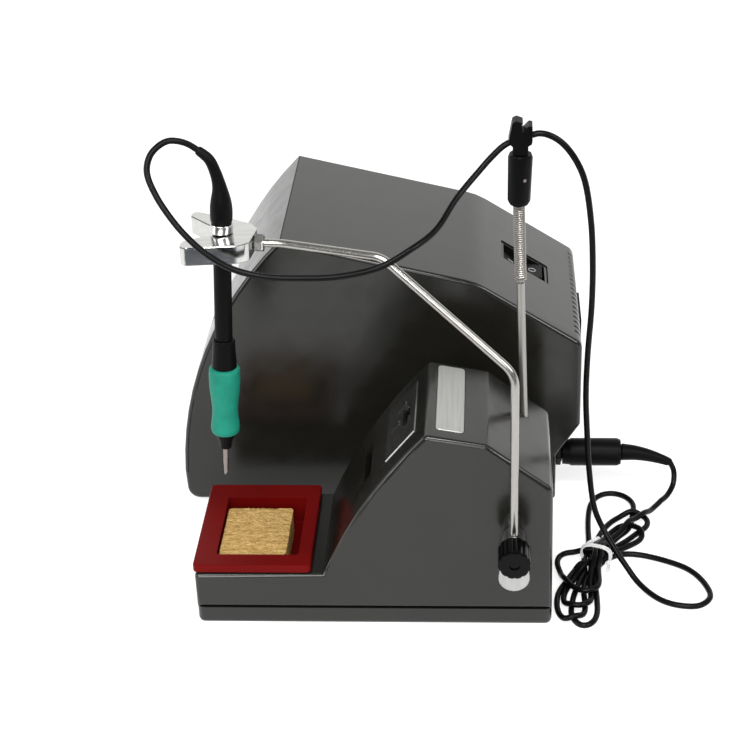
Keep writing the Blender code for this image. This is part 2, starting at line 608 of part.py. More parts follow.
def clip_ends():
    place = head_place() @ Matrix.Translation((0, 0, GUIDE_CLIP))
    return [place @ Vector(p) for p in (CORD_IN, CORD_MID, CORD_OUT)]


def cable_guide(m):
    way = guide_way()
    place = guide_place()
    pivot = GUIDE_FOOT + way * GUIDE_BEND
    profile = [(1.9, -10.0), (1.9, SPRING_FOOT - 0.8), (1.2, SPRING_FOOT - 0.6), (1.2, GUIDE_BEND + 2.0)]
    wire = turned(capped(profile), place, 16)
    finish("guide_rod", wire, m["steel"])
    spring = turned([(2.2, SPRING_FOOT), (2.9, SPRING_FOOT), (2.9, 118.0), (2.2, 118.0)], place, 20, True)
    finish("guide_spring", spring, m["steel"], pivot)
    head = head_place()
    profile = [(4.3, HEAD_FOOT), (5.3, 115.5), (5.7, 136.8), (5.1, 138.3)]
    sleeve = turned(capped(profile), head, 24)
    bore = turned(capped([(3.5, 110.0), (3.5, 119.5)]), head, 20)
    finish("guide_sleeve", cut(sleeve, bore), m["black"], pivot)

    on_side = head @ Matrix.Translation((0, 0, GUIDE_CLIP)) @ ALONG_Y
    h = CLIP_HALF
    jaws = rounded([(-3.6, -0.5, 0), (3.4, -0.5, 0), (3.4, 4.0, 0.5), (h - 0.5, 5.0, 0.5),
                    (h - 0.3, 6.5, 0.5), (h - 0.5, 13.6, 0.4), (h - 2.1, 13.9, 0.6), (0.6, 10.8, 0.5),
                    (-0.3, 14.0, 0.6), (0.9, 15.0, 0.3), (-2.4, 16.2, 1.2), (-4.2, 15.1, 1.0),
                    (-h - 0.2, 6.0, 0.6), (-4.4, 4.2, 0.6), (-3.6, 3.6, 0.4)])
    clip = prism(jaws, -CLIP_DEPTH / 2, CLIP_DEPTH / 2, on_side, 0.6, 0.6, 1)
    into, middle, out = clip_ends()
    holes = [rod(CORD + 0.4, into, middle, 16), rod(CORD + 0.4, middle, out, 16)]
    finish("guide_clip", cut(clip, *holes), m["black"], pivot)


# ---- power unit --------------------------------------------------------------------------
def front_arc(inset=0.0, low=0.0, high=1.0, steps=12):
    """The curved front in side view, from low to high shares of the way down."""
    whole = bulged(FRONT_FOOT, FRONT_TOP, FRONT_BULGE, 1000, inset)[::-1]
    return [whole[round(1000 * (low + (high - low) * k / steps))] for k in range(steps + 1)]


def unit_outline(inset=0.0, floor=CHIN):
    """The power unit's side view; inset, it is the hollow behind the front panel."""
    chin = [(FRONT_FOOT[0] + 0.8 + inset, floor, 7.0 if not inset else 5.0)]
    if inset:
        front = front_arc(FRONT_THICK + GAP + inset)[:-1]
        chin.insert(0, (FRONT_FOOT[0] + 0.2 + inset, FRONT_FOOT[1] - GAP - inset, 0))
    else:
        front = front_arc()
    top, ridge, rear = Vector(FRONT_TOP), Vector(RIDGE), Vector(REAR_TOP)
    corners = [(p.x, p.y, 0) for p in front]
    corners += chin
    corners += [(UNDERCUT_FOOT[0] - inset, floor, 2.0 if not inset else 0),
                (UNDERCUT_FOOT[0] - inset, UNDERCUT_FOOT[1] + inset * 0.5, 2.0),
                (REAR_WALL_FOOT[0] - inset, REAR_WALL_FOOT[1] + inset * 0.5, 2.0),
                (rear.x - inset, rear.y - inset * 0.6, max(6.0 - inset, 1.0)),
                (ridge.x - inset * 0.4, ridge.y - inset * 1.08, 35.0 - inset)]
    slope = (ridge.y - top.y) / (ridge.x - top.x)
    if inset:
        corners[0] = (corners[0][0], top.y + slope * (corners[0][0] - top.x) - inset, 0)
    return rounded(corners, 12.0)


def rear_slope(y):
    """A frame on the rear slope: u down it towards the back, v along -Y, w into the case."""
    u = (Vector(REAR_TOP) - Vector(RIDGE)).normalized()
    at = Vector(RIDGE) + u * ((SWITCH_AT - RIDGE[0]) / u.x)
    return frame((at.x, y, at.y), (u.x, 0, u.y), (0, -1, 0))


def front_place(share, y):
    """A frame on the front: u along -Y, v down the front, w into the case."""
    a, b = front_arc(0.0, share - 0.005, share + 0.005, 1)
    middle, down = (a + b) / 2, b - a
    return frame((middle.x, y, middle.y), (0, -1, 0), (down.x, 0, down.y))


def front_slab(low, high, y0, y1, depth0, depth1, soft=0.0, steps=8):
    outer = front_arc(depth0, low, high, steps)
    inner = front_arc(depth1, low, high, steps)
    return side_prism([*outer, *reversed(inner)], y0, y1, soft, 1)


def panel_room():
    """The space that the hood leaves for the front panel, with a gap all round."""
    outer, inner = front_arc(-8.0), front_arc(FRONT_THICK + GAP)
    up = (inner[0] - inner[1]).normalized() * GAP
    down = (inner[-1] - inner[-2]).normalized() * GAP
    outline = [outer[0] + up, *outer, outer[-1] + down, inner[-1] + down, *reversed(inner), inner[0] + up]
    return side_prism(outline, NEAR - 4, FAR + 4)


def power_case(m):
    whole = side_prism(unit_outline(), NEAR, FAR, UNIT_ROUND, 3)
    panel = boolean(whole.copy(), [front_slab(0.0, 1.0, NEAR - 4, FAR + 4, -8.0, FRONT_THICK, 0.0, 14)],
                    "INTERSECT")
    hood = cut(whole, panel_room())
    hollow = side_prism(unit_outline(UNIT_WALL, -5.0), NEAR + UNIT_WALL, FAR - UNIT_WALL)
    door = front_slab(0.05, 0.93, NEAR + 9, FAR - 9, -5.0, 15.0)
    hood = cut(hood, hollow, door)
    posts = [rod(4.2, (x, y, 5.2), (x, y, 34.0), 12) for x, y in UNIT_POSTS]
    hood = fuse(hood, *posts)
    switch = rear_slope(UNIT_MID + 2)
    l, w = SWITCH_LENGTH / 2, SWITCH_WIDTH / 2
    switch_hole = prism(box_outline(-l, -w, l, w, 1.0), -10, 10, switch)
    plug_hole = rod(5.5, (170, PLUG_Y, PLUG_Z), (184, PLUG_Y, PLUG_Z), 20)
    inlet_hole = block(180, INLET_Y - INLET_W / 2 - GAP, INLET_Z - INLET_H / 2 - GAP,
                       200, INLET_Y + INLET_W / 2 + GAP, INLET_Z + INLET_H / 2 + GAP)
    slots = []
    corner = Vector((REAR_TOP[0], 0, REAR_TOP[1]))
    for k in range(VENTS):
        y = UNIT_MID + (k - (VENTS - 1) / 2) * VENT_PITCH
        lean = Matrix.Translation((corner.x - 4, y, corner.z - 3)) @ Matrix.Rotation(radians(-36), 4, "Y")
        slots.append(prism(box_outline(-11, -0.8, 11, 0.8, 0.5), -7.0, 4.0, lean))
    threads = [rod(1.6, (x, y, 0.0), (x, y, 28.0), 10) for x, y in UNIT_POSTS]
    hood = cut(hood, switch_hole, plug_hole, inlet_hole, *slots, *threads)
    finish("main_shell", hood, m["case"])

    low, high, y0, y1 = WINDOW
    holes = [front_slab(low, high, y0, y1, -6.0, 9.0)]
    holes += [prism(regular(BUTTON_R + 0.4, 20), -8, 12, front_place(BUTTON_SHARE, y)) for _, y in BUTTONS]
    finish("front_panel", cut(panel, *holes), m["case"])
    margin = 0.003
    lens = front_slab(low + margin, high - margin, y0 + 0.4, y1 - 0.4, 0.3, 2.2)
    finish("display_lens", lens, m["lens"])
    board = front_slab(0.24, 0.78, y0 - 8, y1 + 8, 12.0, 13.6)
    digits = front_slab(low + 0.01, high - 0.01, y0 + 1, y1 - 1, 4.0, 12.5)
    finish("display_board", fuse(board, digits), m["board"])
    for name, y in BUTTONS:
        place = front_place(BUTTON_SHARE, y)
        profile = [(2.2, 10.2), (2.2, 2.6), (BUTTON_R, 2.6), (BUTTON_R, 1.0), (BUTTON_R - 0.6, 0.4)]
        at = place.translation
        finish(name, turned(capped(profile), place, 20), m["black"], at)

    base = prism(box_outline(-14.5, NEAR + UNIT_WALL + GAP, UNDERCUT_FOOT[0] - UNIT_WALL - GAP,
                             FAR - UNIT_WALL - GAP, 1.0), 2.0, 4.8)
    spots = [(x, y) for x in (6.0, 82.0) for y in (134.0, 204.0)]
    base = fuse(base, *[rod(2.6, (x, y, 4.0), (x, y, 10.0 - GAP), 10) for x, y in spots])
    holes = [rod(1.9, (x, y, 0), (x, y, 10), 12) for x, y in UNIT_POSTS]
    finish("main_base", cut(base, *holes), m["case"])
    screws("main_screw", [(x, y, 0.4) for x, y in UNIT_POSTS], 3.2, 1.3, 1.3, 24.0, m["steel"])
    pads = [(x, y) for x in (16.0, 140.0) for y in (NEAR + 16, FAR - 16)]
    feet("main_foot", pads, 7.0, 1.7, m["rubber"])


def power_inside(m):
    board = block(0, 128, 10.0, 88, 210, 11.6, 1.0)
    cans = [rod(8.0, (x, 199.0, 11.0), (x, 199.0, 38.0), 20, 0.8) for x in (18.0, 37.0)]
    fins = []
    for k in range(7):
        x = 12.0 + k * 7.0
        fins += [Vector((x, 17.0)), Vector((x, 40.0)), Vector((x + 2.0, 40.0)), Vector((x + 2.0, 17.0))]
    comb = [Vector((12.0, 11.0)), *fins, Vector((56.0, 11.0))]
    heat_sink = side_prism(comb, 134.0, 164.0)
    finish("power_board", fuse(board, *cans, heat_sink), m["board"])
    core = block(98, 141, 5.1, 150, 191, 47, 1.0)
    coil = block(106, 131, 12, 142, 201, 40, 6.0, 2.0)
    finish("transformer", fuse(core, coil), m["dark_steel"])


def switch_and_sockets(m):
    switch = rear_slope(UNIT_MID + 2)
    l, w = SWITCH_LENGTH / 2 - GAP, SWITCH_WIDTH / 2 - GAP
    housing = prism(box_outline(-l, -w, l, w, 0.8), 0.6, 17.0, switch)
    well = prism(box_outline(-l + 1.6, -w + 1.6, l - 1.6, w - 1.6, 0.5), -5.0, 14.0, switch)
    finish("switch_housing", cut(housing, well), m["black"])
    pivot_place = switch @ Matrix.Translation((0, 0, 6.0))
    half = [(11.8, -4.6), (11.8, 4.4), (4.0, 5.6)]
    shape = [Vector((u, v)) for u, v in ((0.0, -1.6), *half)]
    shape += [Vector((-u, v)) for u, v in reversed(half)]
    tilt = Matrix.Rotation(radians(7.0), 4, "Y")
    rocker = prism(shape, -w + 2.4, w - 2.4, pivot_place @ tilt @ ALONG_Y, 0.5, 0.5, 1)
    finish("switch_rocker", rocker, m["black"], pivot_place.translation)

    x = REAR_WALL_FOOT[0]
    y, z, w, h = INLET_Y, INLET_Z, INLET_W / 2, INLET_H / 2
    flange = block(x + GAP, y - w - 3, z - h - 2.5, x + 2.3, y + w + 3, z + h + 2.5)
    body = block(x - 20, y - w, z - h, x + 1.0, y + w, z + h)
    inlet = fuse(flange, body)
    cavity = block(x - 15, y - w + 1.8, z - h + 1.8, x + 5, y + w - 1.8, z + h - 1.8, 0.5)
    inlet = cut(inlet, cavity)
    blades = [block(x - 17, y + dy - 1, z + dz - 2.0, x - 3, y + dy + 1, z + dz + 2.0)
              for dy, dz in ((-7, -1.5), (0, 2.5), (7, -1.5))]
    finish("mains_inlet", fuse(inlet, *blades), m["black"])

    wall = UNDERCUT_FOOT[0]
    centre = (0, PLUG_Y, PLUG_Z)
    to_back = frame(centre, (0, 1, 0), (0, 0, 1))
    inner = wall - UNIT_WALL - GAP
    barrel = turned(capped([(7.6, wall - 20), (7.6, inner), (5.2, inner), (5.2, wall + 3.6)]), to_back, 24)
    mouth = turned(capped([(4.2, wall - 9.0), (4.2, wall + 8.0)]), to_back, 20)
    finish("output_socket", cut(barrel, mouth), m["black"])
    ring = prism(regular(7.2, 6), wall + GAP, wall + 3.2, to_back, 0.4, 0.4, 1)
    bore = prism(regular(5.5, 24), wall - 2, wall + 8, to_back)
    finish("socket_nut", cut(ring, bore), m["steel"])
    plug = turned(capped([(3.9, wall - 7.0), (3.9, wall + 4.0), (6.6, wall + 4.0), (6.9, 185.0), (7.5, 186.0),
                          (7.5, 210.6), (6.7, 212.6)]), to_back, 24)
    finish("plug_body", plug, m["black"])
    radii = [4.6, 4.5, 4.2, 3.8, 3.4, 3.0, 2.7, 2.4, 2.2]
    tube("plug_boot", smooth(PLUG_BOOT, len(radii)), 4.6, m["rubber"], 3, radii)


# ---- the cord ----------------------------------------------------------------------------
PLUG_BOOT = [(212.9, 124, 22.3), (221, 124, 21.6), (230, 124, 19.4), (239.0, 124, 15.9)]
LOOP_ROUTE = [(12.9, 28, 237.2), (8.3, 28, 240.4), (4, 27.5, 242.1), (-0.4, 27, 242.4), (-4.4, 26, 240.7),
              (-8.1, 24.5, 237.3), (-9.9, 22.5, 232.9), (-9.8, 20.5, 228.5), (-6.2, 16.5, 221),
              (-0.7, 12.5, 213.3), (6.6, 8.5, 205.3), (16, 6, 196.9), (27.7, 4.8, 189.9),
              (41.5, 4, 186.6), (57.9, 3.4, 186), (75.7, 3, 187), (93.7, 3.5, 191.3),
              (106.6, 9, 196.8), (117.8, 20, 201.4), (127.4, 34.5, 210.9), (137.7, 45, 219.8),
              (143.6, 49.2, 225.1)]
DROP_ROUTE = [(167.1, 52, 234.2), (171.6, 52.2, 232.2), (176.2, 52.5, 228.3), (181.3, 53, 221),
              (185.5, 53.5, 211), (189, 54.5, 190.4), (190.5, 55.5, 167), (190.6, 56.2, 145),
              (189.4, 57, 118), (189.1, 57, 95.6), (190.1, 56.7, 75.7), (191.6, 55.5, 54),
              (195.0, 53.5, 31), (199.8, 50, 20.5), (204.6, 43.5, 14.4), (209.8, 36.6, 9.2),
              (216.5, 28, 3.6), (226, 17.5, 1.6), (235.3, 12.6, 1.6), (244.8, 12.6, 1.6), (250.8, 19.4, 1.6),
              (249.4, 31, 1.6), (242.6, 43.2, 1.6), (229.1, 52.4, 2.2), (218.5, 55.2, 3.0),
              (208.8, 56.2, 4.5)]
TAIL_ROUTE = [(239.8, 124, 15.4), (241.8, 123.2, 10.6), (241.4, 119.5, 4.8), (237.6, 112.4, 1.8),
              (232.6, 105.0, 1.8), (229.6, 101.4, 3.0)]
HANK_LOW, HANK_HIGH, HANK_HEIGHT = ((183.5, 3.5), 10.5), ((209.0, 98.0), 18.5), 9.0
HANK_WAIST = ((194.5, 51.5), 8.5)  # where the tie is
TIE_THICK = 1.0


def handle_cord(m):
    into, middle, out = clip_ends()
    loop = smooth([*LOOP_ROUTE, into, middle.lerp(into, 0.03)], 79)
    tube("cord_loop", loop, CORD, m["cord"])
    drop = smooth([middle.lerp(out, 0.03), out, *DROP_ROUTE], 80)
    tube("cord_drop", drop, CORD, m["cord"])
    tube("cord_tail", smooth(TAIL_ROUTE, 14), CORD, m["cord"])
    halves = [prism(hull_of_rounds(end, HANK_WAIST, 12), 0.2, HANK_HEIGHT, soft_high=3.0, soft_low=1.0)
              for end in (HANK_LOW, HANK_HIGH)]
    finish("cord_hank", fuse(*halves), m["cord"])
    way = Vector(HANK_HIGH[0]) - Vector(HANK_LOW[0])
    at, half = HANK_WAIST
    place = frame((*at, HANK_HEIGHT / 2 + 0.6), (-way.y, way.x, 0), (0, 0, 1))
    wide, tall, band = half + 1.0, HANK_HEIGHT / 2 + 0.5, TIE_THICK
    outer = box_outline(-wide - band, -tall + 0.5, wide + band, tall + band, 3.0)
    ring = prism(outer, -2.0, 2.0, place)
    room = prism(box_outline(-wide, -tall - 4.0, wide, tall, 2.6), -4.0, 4.0, place)
    finish("cord_tie", cut(ring, room), m["badge"])


def main():
    for obj in list(bpy.data.objects):
        bpy.data.objects.remove(obj)
    m = {
        "case": paint("case", (0.085, 0.083, 0.078), 0.42, 0.35),
        "red": paint("red", (0.30, 0.012, 0.015), 0.4),
        "sponge": paint("sponge", (0.62, 0.45, 0.20), 0.95),
        "aluminium": paint("aluminium", (0.83, 0.83, 0.81), 0.22, 1.0),
        "steel": paint("steel", (0.55, 0.53, 0.50), 0.25, 1.0),
        "dark_steel": paint("dark_steel", (0.12, 0.12, 0.115), 0.35, 0.8),
        "chrome": paint("chrome", (0.75, 0.75, 0.75), 0.12, 1.0),
        "badge": paint("badge", (0.62, 0.62, 0.60), 0.35, 0.6),
        "black": paint("black", (0.012, 0.012, 0.012), 0.45),
        "rubber": paint("rubber", (0.015, 0.015, 0.015), 0.7),
        "cord": paint("cord", (0.01, 0.01, 0.01), 0.4),
        "green": paint("green", (0.02, 0.36, 0.23), 0.55),
        "lens": paint("lens", (0.01, 0.01, 0.012), 0.08),
        "board": paint("board", (0.01, 0.12, 0.05), 0.5),
    }
    tool_stand(m)
    sponge_tray(m)
    pivot_and_knob(m)
    arm_and_fork(m)
    soldering_iron(m)
    cable_guide(m)
    power_case(m)
    power_inside(m)
    switch_and_sockets(m)
    handle_cord(m)


main()
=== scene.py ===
"""The looks of the soldering iron station: materials on every piece, the cord from the iron to
its plug, the wound spring, the sponge, the grip and the small fittings, with a studio round them.

Shapes are written in millimetres from a point on the bench just inside the tool stand's front
near corner, and at() turns them into the frame's metres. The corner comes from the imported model.
"""

from math import atan2, cos, pi, radians, sin, sqrt, tau

import bmesh
import bpy
import numpy as np
from mathutils import Matrix, Vector, noise


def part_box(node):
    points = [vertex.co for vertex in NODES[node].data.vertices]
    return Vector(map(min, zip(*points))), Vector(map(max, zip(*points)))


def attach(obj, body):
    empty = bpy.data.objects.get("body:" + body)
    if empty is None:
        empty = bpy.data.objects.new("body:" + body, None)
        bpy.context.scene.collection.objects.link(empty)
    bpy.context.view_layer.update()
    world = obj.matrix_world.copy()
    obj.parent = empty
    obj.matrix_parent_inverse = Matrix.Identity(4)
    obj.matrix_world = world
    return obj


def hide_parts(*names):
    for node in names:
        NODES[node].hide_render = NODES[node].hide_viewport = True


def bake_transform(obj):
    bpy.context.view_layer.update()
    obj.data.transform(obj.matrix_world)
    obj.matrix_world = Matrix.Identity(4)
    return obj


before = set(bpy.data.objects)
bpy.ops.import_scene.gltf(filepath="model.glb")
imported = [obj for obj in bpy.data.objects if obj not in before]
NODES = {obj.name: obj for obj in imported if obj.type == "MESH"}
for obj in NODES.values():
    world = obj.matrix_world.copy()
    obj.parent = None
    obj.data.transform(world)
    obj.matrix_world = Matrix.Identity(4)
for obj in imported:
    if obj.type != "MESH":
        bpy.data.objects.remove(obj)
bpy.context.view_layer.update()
MM = 0.001
INSET = 1.8  # from the stand's corner to the point that shapes are written from
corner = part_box("stand_base")[0]
BENCH = Vector((corner.x, corner.y, 0.0)) + Vector((INSET, INSET, 0.0)) * MM


def at(p):
    return BENCH + Vector(p) * MM


# ---- camera ------------------------------------------------------------------------------
SENSOR, FOCAL_LENGTH = 36.0, 87.264
CAMERA_DOWN, CAMERA_ASIDE, CAMERA_ROLL = radians(28.86), radians(-4.05), radians(-2.06)
CAMERA_AT = (0.0565, -0.8213, 0.538)


def make_camera():
    data = bpy.data.cameras.new("camera")
    data.sensor_width, data.lens = SENSOR, FOCAL_LENGTH
    data.clip_start, data.clip_end = 0.05, 40.0
    camera = bpy.data.objects.new("camera", data)
    bpy.context.scene.collection.objects.link(camera)
    down, aside, roll = CAMERA_DOWN, CAMERA_ASIDE, CAMERA_ROLL
    ahead = Vector((sin(aside) * cos(down), cos(aside) * cos(down), -sin(down)))
    right = Vector((cos(aside), -sin(aside), 0.0))
    up = right.cross(ahead)
    r = right * cos(roll) + up * sin(roll)
    u = up * cos(roll) - right * sin(roll)
    place = Matrix((r, u, -ahead)).transposed().to_4x4()
    place.translation = Vector(CAMERA_AT)
    camera.matrix_world = place
    bpy.context.scene.camera = camera


# ---- lines -------------------------------------------------------------------------------
def spaced(line, count):
    """count points, evenly spaced along a line of points."""
    along = [0.0]
    for p, q in zip(line, line[1:]):
        along.append(along[-1] + (q - p).length)
    out, j = [], 0
    for k in range(count):
        want = along[-1] * k / (count - 1)
        while j < len(line) - 2 and along[j + 1] < want:
            j += 1
        step = max(along[j + 1] - along[j], 1e-9)
        out.append(line[j].lerp(line[j + 1], (want - along[j]) / step))
    return out


def smooth(route, spacing=1.5):
    """Evenly spaced points on the smooth curve through the route's own points."""
    route = [Vector(p) for p in route]
    knots = [2 * route[0] - route[1], *route, 2 * route[-1] - route[-2]]
    fine = []
    for a, b, c, d in zip(knots, knots[1:], knots[2:], knots[3:]):
        t0, t1, t2 = (sqrt(max((q - p).length, 1e-6)) for p, q in ((a, b), (b, c), (c, d)))
        m1 = ((b - a) / t0 - (c - a) / (t0 + t1) + (c - b) / t1) * t1
        m2 = ((c - b) / t1 - (d - b) / (t1 + t2) + (d - c) / t2) * t1
        for k in range(16):
            s = k / 16
            h = (2 * s**3 - 3 * s**2 + 1, s**3 - 2 * s**2 + s, 3 * s**2 - 2 * s**3, s**3 - s**2)
            fine.append(b * h[0] + m1 * h[1] + c * h[2] + m2 * h[3])
    fine.append(route[-1])
    return spaced(fine, max(3, round(length_of(fine) / spacing) + 1))


def length_of(line):
    return sum((q - p).length for p, q in zip(line, line[1:]))


def bent(corners, steps=12):
    """A 3-D line through (point, bend radius) corners, each bend as an arc."""
    points = [Vector(p) for p, _ in corners]
    out = [points[0]]
    for i in range(1, len(points) - 1):
        here, r = points[i], corners[i][1]
        back, on = (points[i - 1] - here).normalized(), (points[i + 1] - here).normalized()
        half = back.angle(on) / 2
        centre = here + (back + on).normalized() * (r / sin(half))
        start = here + back * (r * cos(half) / sin(half)) - centre
        axis, turn = back.cross(start).normalized(), pi - 2 * half
        out += [centre + Matrix.Rotation(turn * k / steps, 3, axis) @ start for k in range(steps + 1)]
    return [*out, points[-1]]


# ---- meshes ------------------------------------------------------------------------------
def made(name, bm, material, angle=40.0):
    """The named piece from a mesh in the frame's metres."""
    bmesh.ops.recalc_face_normals(bm, faces=bm.faces)
    mesh = bpy.data.meshes.new(name)
    bm.to_mesh(mesh)
    bm.free()
    mesh.materials.append(material)
    mesh.shade_smooth()
    mesh.set_sharp_from_angle(angle=radians(angle))
    obj = bpy.data.objects.new(name, mesh)
    bpy.context.scene.collection.objects.link(obj)
    return obj


def rings(line):
    """A frame square to the line at each of its points, turning as little as it can."""
    last = len(line) - 1
    ways = [(line[min(i + 1, last)] - line[max(i - 1, 0)]).normalized() for i in range(len(line))]
    u = ways[0].orthogonal().normalized()
    out = []
    for way in ways:
        u = (u - way * u.dot(way)).normalized()
        out.append((u, way.cross(u)))
    return out


def tube_mesh(line, radii, sides=12, bm=None):
    """A round bar along a line of points in millimetres, with domed ends."""
    bm = bm or bmesh.new()
    radii = radii if hasattr(radii, "__len__") else [radii] * len(line)
    loops = []
    for p, (u, v), r in zip(line, rings(line), radii):
        loops.append([bm.verts.new(at(p + (u * cos(tau * k / sides) + v * sin(tau * k / sides)) * r))
                      for k in range(sides)])
    for a, b in zip(loops, loops[1:]):
        for k in range(sides):
            bm.faces.new((a[k], a[(k + 1) % sides], b[(k + 1) % sides], b[k]))
    bm.faces.new(loops[0][::-1])
    bm.faces.new(loops[-1])
    return bm


def lathe(profile, place, sides=48):
    """A (radius, height) profile spun about the place's w axis, closed on the axis at both ends."""
    bm = bmesh.new()
    points = [(0.0, profile[0][1]), *profile, (0.0, profile[-1][1])]
    line = [bm.verts.new((r, 0, h)) for r, h in points]
    edges = [bm.edges.new(pair) for pair in zip(line, line[1:])]
    bmesh.ops.spin(bm, geom=line + edges, cent=(0, 0, 0), axis=(0, 0, 1), angle=tau,
                   steps=sides, use_merge=True, use_duplicate=False)
    bmesh.ops.remove_doubles(bm, verts=bm.verts, dist=1e-4)
    for v in bm.verts:
        v.co = at(place @ v.co)
    return bm


def frame_of(origin, u, v):
    u, v = Vector(u).normalized(), Vector(v).normalized()
    return Matrix.Translation(Vector(origin)) @ Matrix((u, v, u.cross(v).normalized())).transposed().to_4x4()


def outline_slab(outline, low, high, place, soft=0.0, segments=2):
    """An outline pulled from w = low to w = high, both rims rounded."""
    bm = bmesh.new()
    base = bm.faces.new([bm.verts.new((u, v, low)) for u, v in outline])
    top = bmesh.ops.extrude_face_region(bm, geom=[base])
    lifted = [e for e in top["geom"] if isinstance(e, bmesh.types.BMVert)]
    bmesh.ops.translate(bm, verts=lifted, vec=(0, 0, high - low))
    if soft:
        rim = [e for e in bm.edges if abs(e.verts[0].co.z - e.verts[1].co.z) < 1e-6]
        bmesh.ops.bevel(bm, geom=rim, offset=soft, segments=segments, profile=0.5, affect="EDGES")
    for v in bm.verts:
        v.co = at(place @ v.co)
    return bm


def put(obj, body, slot, *stands_for):
    """The piece rides on a body and may stand for CAD nodes, which it hides. The slot is not used."""
    if body:
        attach(obj, body)
    if stands_for:
        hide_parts(*stands_for)
    return obj


# ---- materials ---------------------------------------------------------------------------
class Look:
    """A node material, built up step by step. Texture scales are in features per metre."""

    def __init__(self, name, colour, roughness, metallic=0.0, **sockets):
        self.material = bpy.data.materials.new(name)
        self.material.use_nodes = True
        self.tree = self.material.node_tree
        self.shader = self.tree.nodes["Principled BSDF"]
        self.colour = colour
        self.set(Roughness=roughness, Metallic=metallic)
        self.shader.inputs["Base Color"].default_value = (*colour, 1.0)
        self.roughness = roughness
        for key, value in sockets.items():
            self.shader.inputs[key.replace("_", " ")].default_value = value
        self.height = None
        self.where = self.node("ShaderNodeTexCoord").outputs["Object"]

    def set(self, **sockets):
        for key, value in sockets.items():
            self.shader.inputs[key].default_value = value

    def node(self, kind, **inputs):
        n = self.tree.nodes.new(kind)
        for key, value in inputs.items():
            n.inputs[key].default_value = value
        return n

    def link(self, a, b):
        self.tree.links.new(a, b)

    def stretched(self, scale):
        m = self.node("ShaderNodeMapping")
        m.inputs["Scale"].default_value = scale
        self.link(self.where, m.inputs["Vector"])
        return m.outputs["Vector"]

    def noise(self, scale, detail=4.0, stretch=(1, 1, 1), roughness=0.5):
        n = self.node("ShaderNodeTexNoise", Scale=scale, Detail=detail, Roughness=roughness)
        self.link(self.stretched(stretch), n.inputs["Vector"])
        return n.outputs["Fac"]

    def cells(self, scale, stretch=(1, 1, 1), feature="F1"):
        n = self.node("ShaderNodeTexVoronoi", Scale=scale)
        n.feature = feature
        self.link(self.stretched(stretch), n.inputs["Vector"])
        return n.outputs["Distance"]

    def mapped(self, value, low, high, to_low, to_high):
        n = self.node("ShaderNodeMapRange")
        for i, x in enumerate((low, high, to_low, to_high), 1):
            n.inputs[i].default_value = x
        self.link(value, n.inputs[0])
        return n.outputs[0]

    def tint(self, value, low, high, dark, light):
        """The base colour goes from dark to light as the value goes from low to high."""
        ramp = self.node("ShaderNodeValToRGB")
        ramp.color_ramp.elements[0].position, ramp.color_ramp.elements[1].position = low, high
        ramp.color_ramp.elements[0].color = (*dark, 1.0)
        ramp.color_ramp.elements[1].color = (*light, 1.0)
        self.link(value, ramp.inputs["Fac"])
        self.link(ramp.outputs["Color"], self.shader.inputs["Base Color"])
        return self

    def vary(self, value, share=0.08):
        """The base colour is a little darker and lighter with the value."""
        dark = [c * (1 - share) for c in self.colour]
        light = [min(1.0, c * (1 + share)) for c in self.colour]
        return self.tint(value, 0.3, 0.7, dark, light)

    def rough(self, value, spread):
        low, high = max(0.02, self.roughness - spread), min(1.0, self.roughness + spread)
        self.link(self.mapped(value, 0.3, 0.7, low, high), self.shader.inputs["Roughness"])
        return self

    def bump(self, value, strength, distance):
        n = self.node("ShaderNodeBump", Strength=strength, Distance=distance)
        self.link(value, n.inputs["Height"])
        if self.height:
            self.link(self.height, n.inputs["Normal"])
        self.height = n.outputs["Normal"]
        self.link(self.height, self.shader.inputs["Normal"])
        return self


def moulded(name, colour, roughness, grain=0.05, gloss=0.5, **sockets):
    """Moulded plastic: spark-eroded grain, slow sink marks and a little uneven gloss."""
    look = Look(name, colour, roughness, Specular_IOR_Level=gloss, **sockets)
    look.vary(look.noise(35, 5), 0.10)
    look.rough(look.noise(90, 6), 0.05)
    look.bump(look.noise(2600, 2), grain, 0.00008)
    look.bump(look.noise(28, 1), 0.015, 0.0006)
    return look.material


def metal(name, colour, roughness, stretch=(1, 1, 1), scale=900, spread=0.06, marks=0.05, **sockets):
    """Bare metal with drawn or brushed lines along the direction that stretch is small in."""
    look = Look(name, colour, roughness, 1.0, **sockets)
    look.vary(look.noise(scale * 0.5, 6, stretch), 0.06)
    look.rough(look.noise(scale, 6, stretch), spread)
    look.bump(look.noise(scale, 4, stretch), marks, 0.00005)
    return look.material


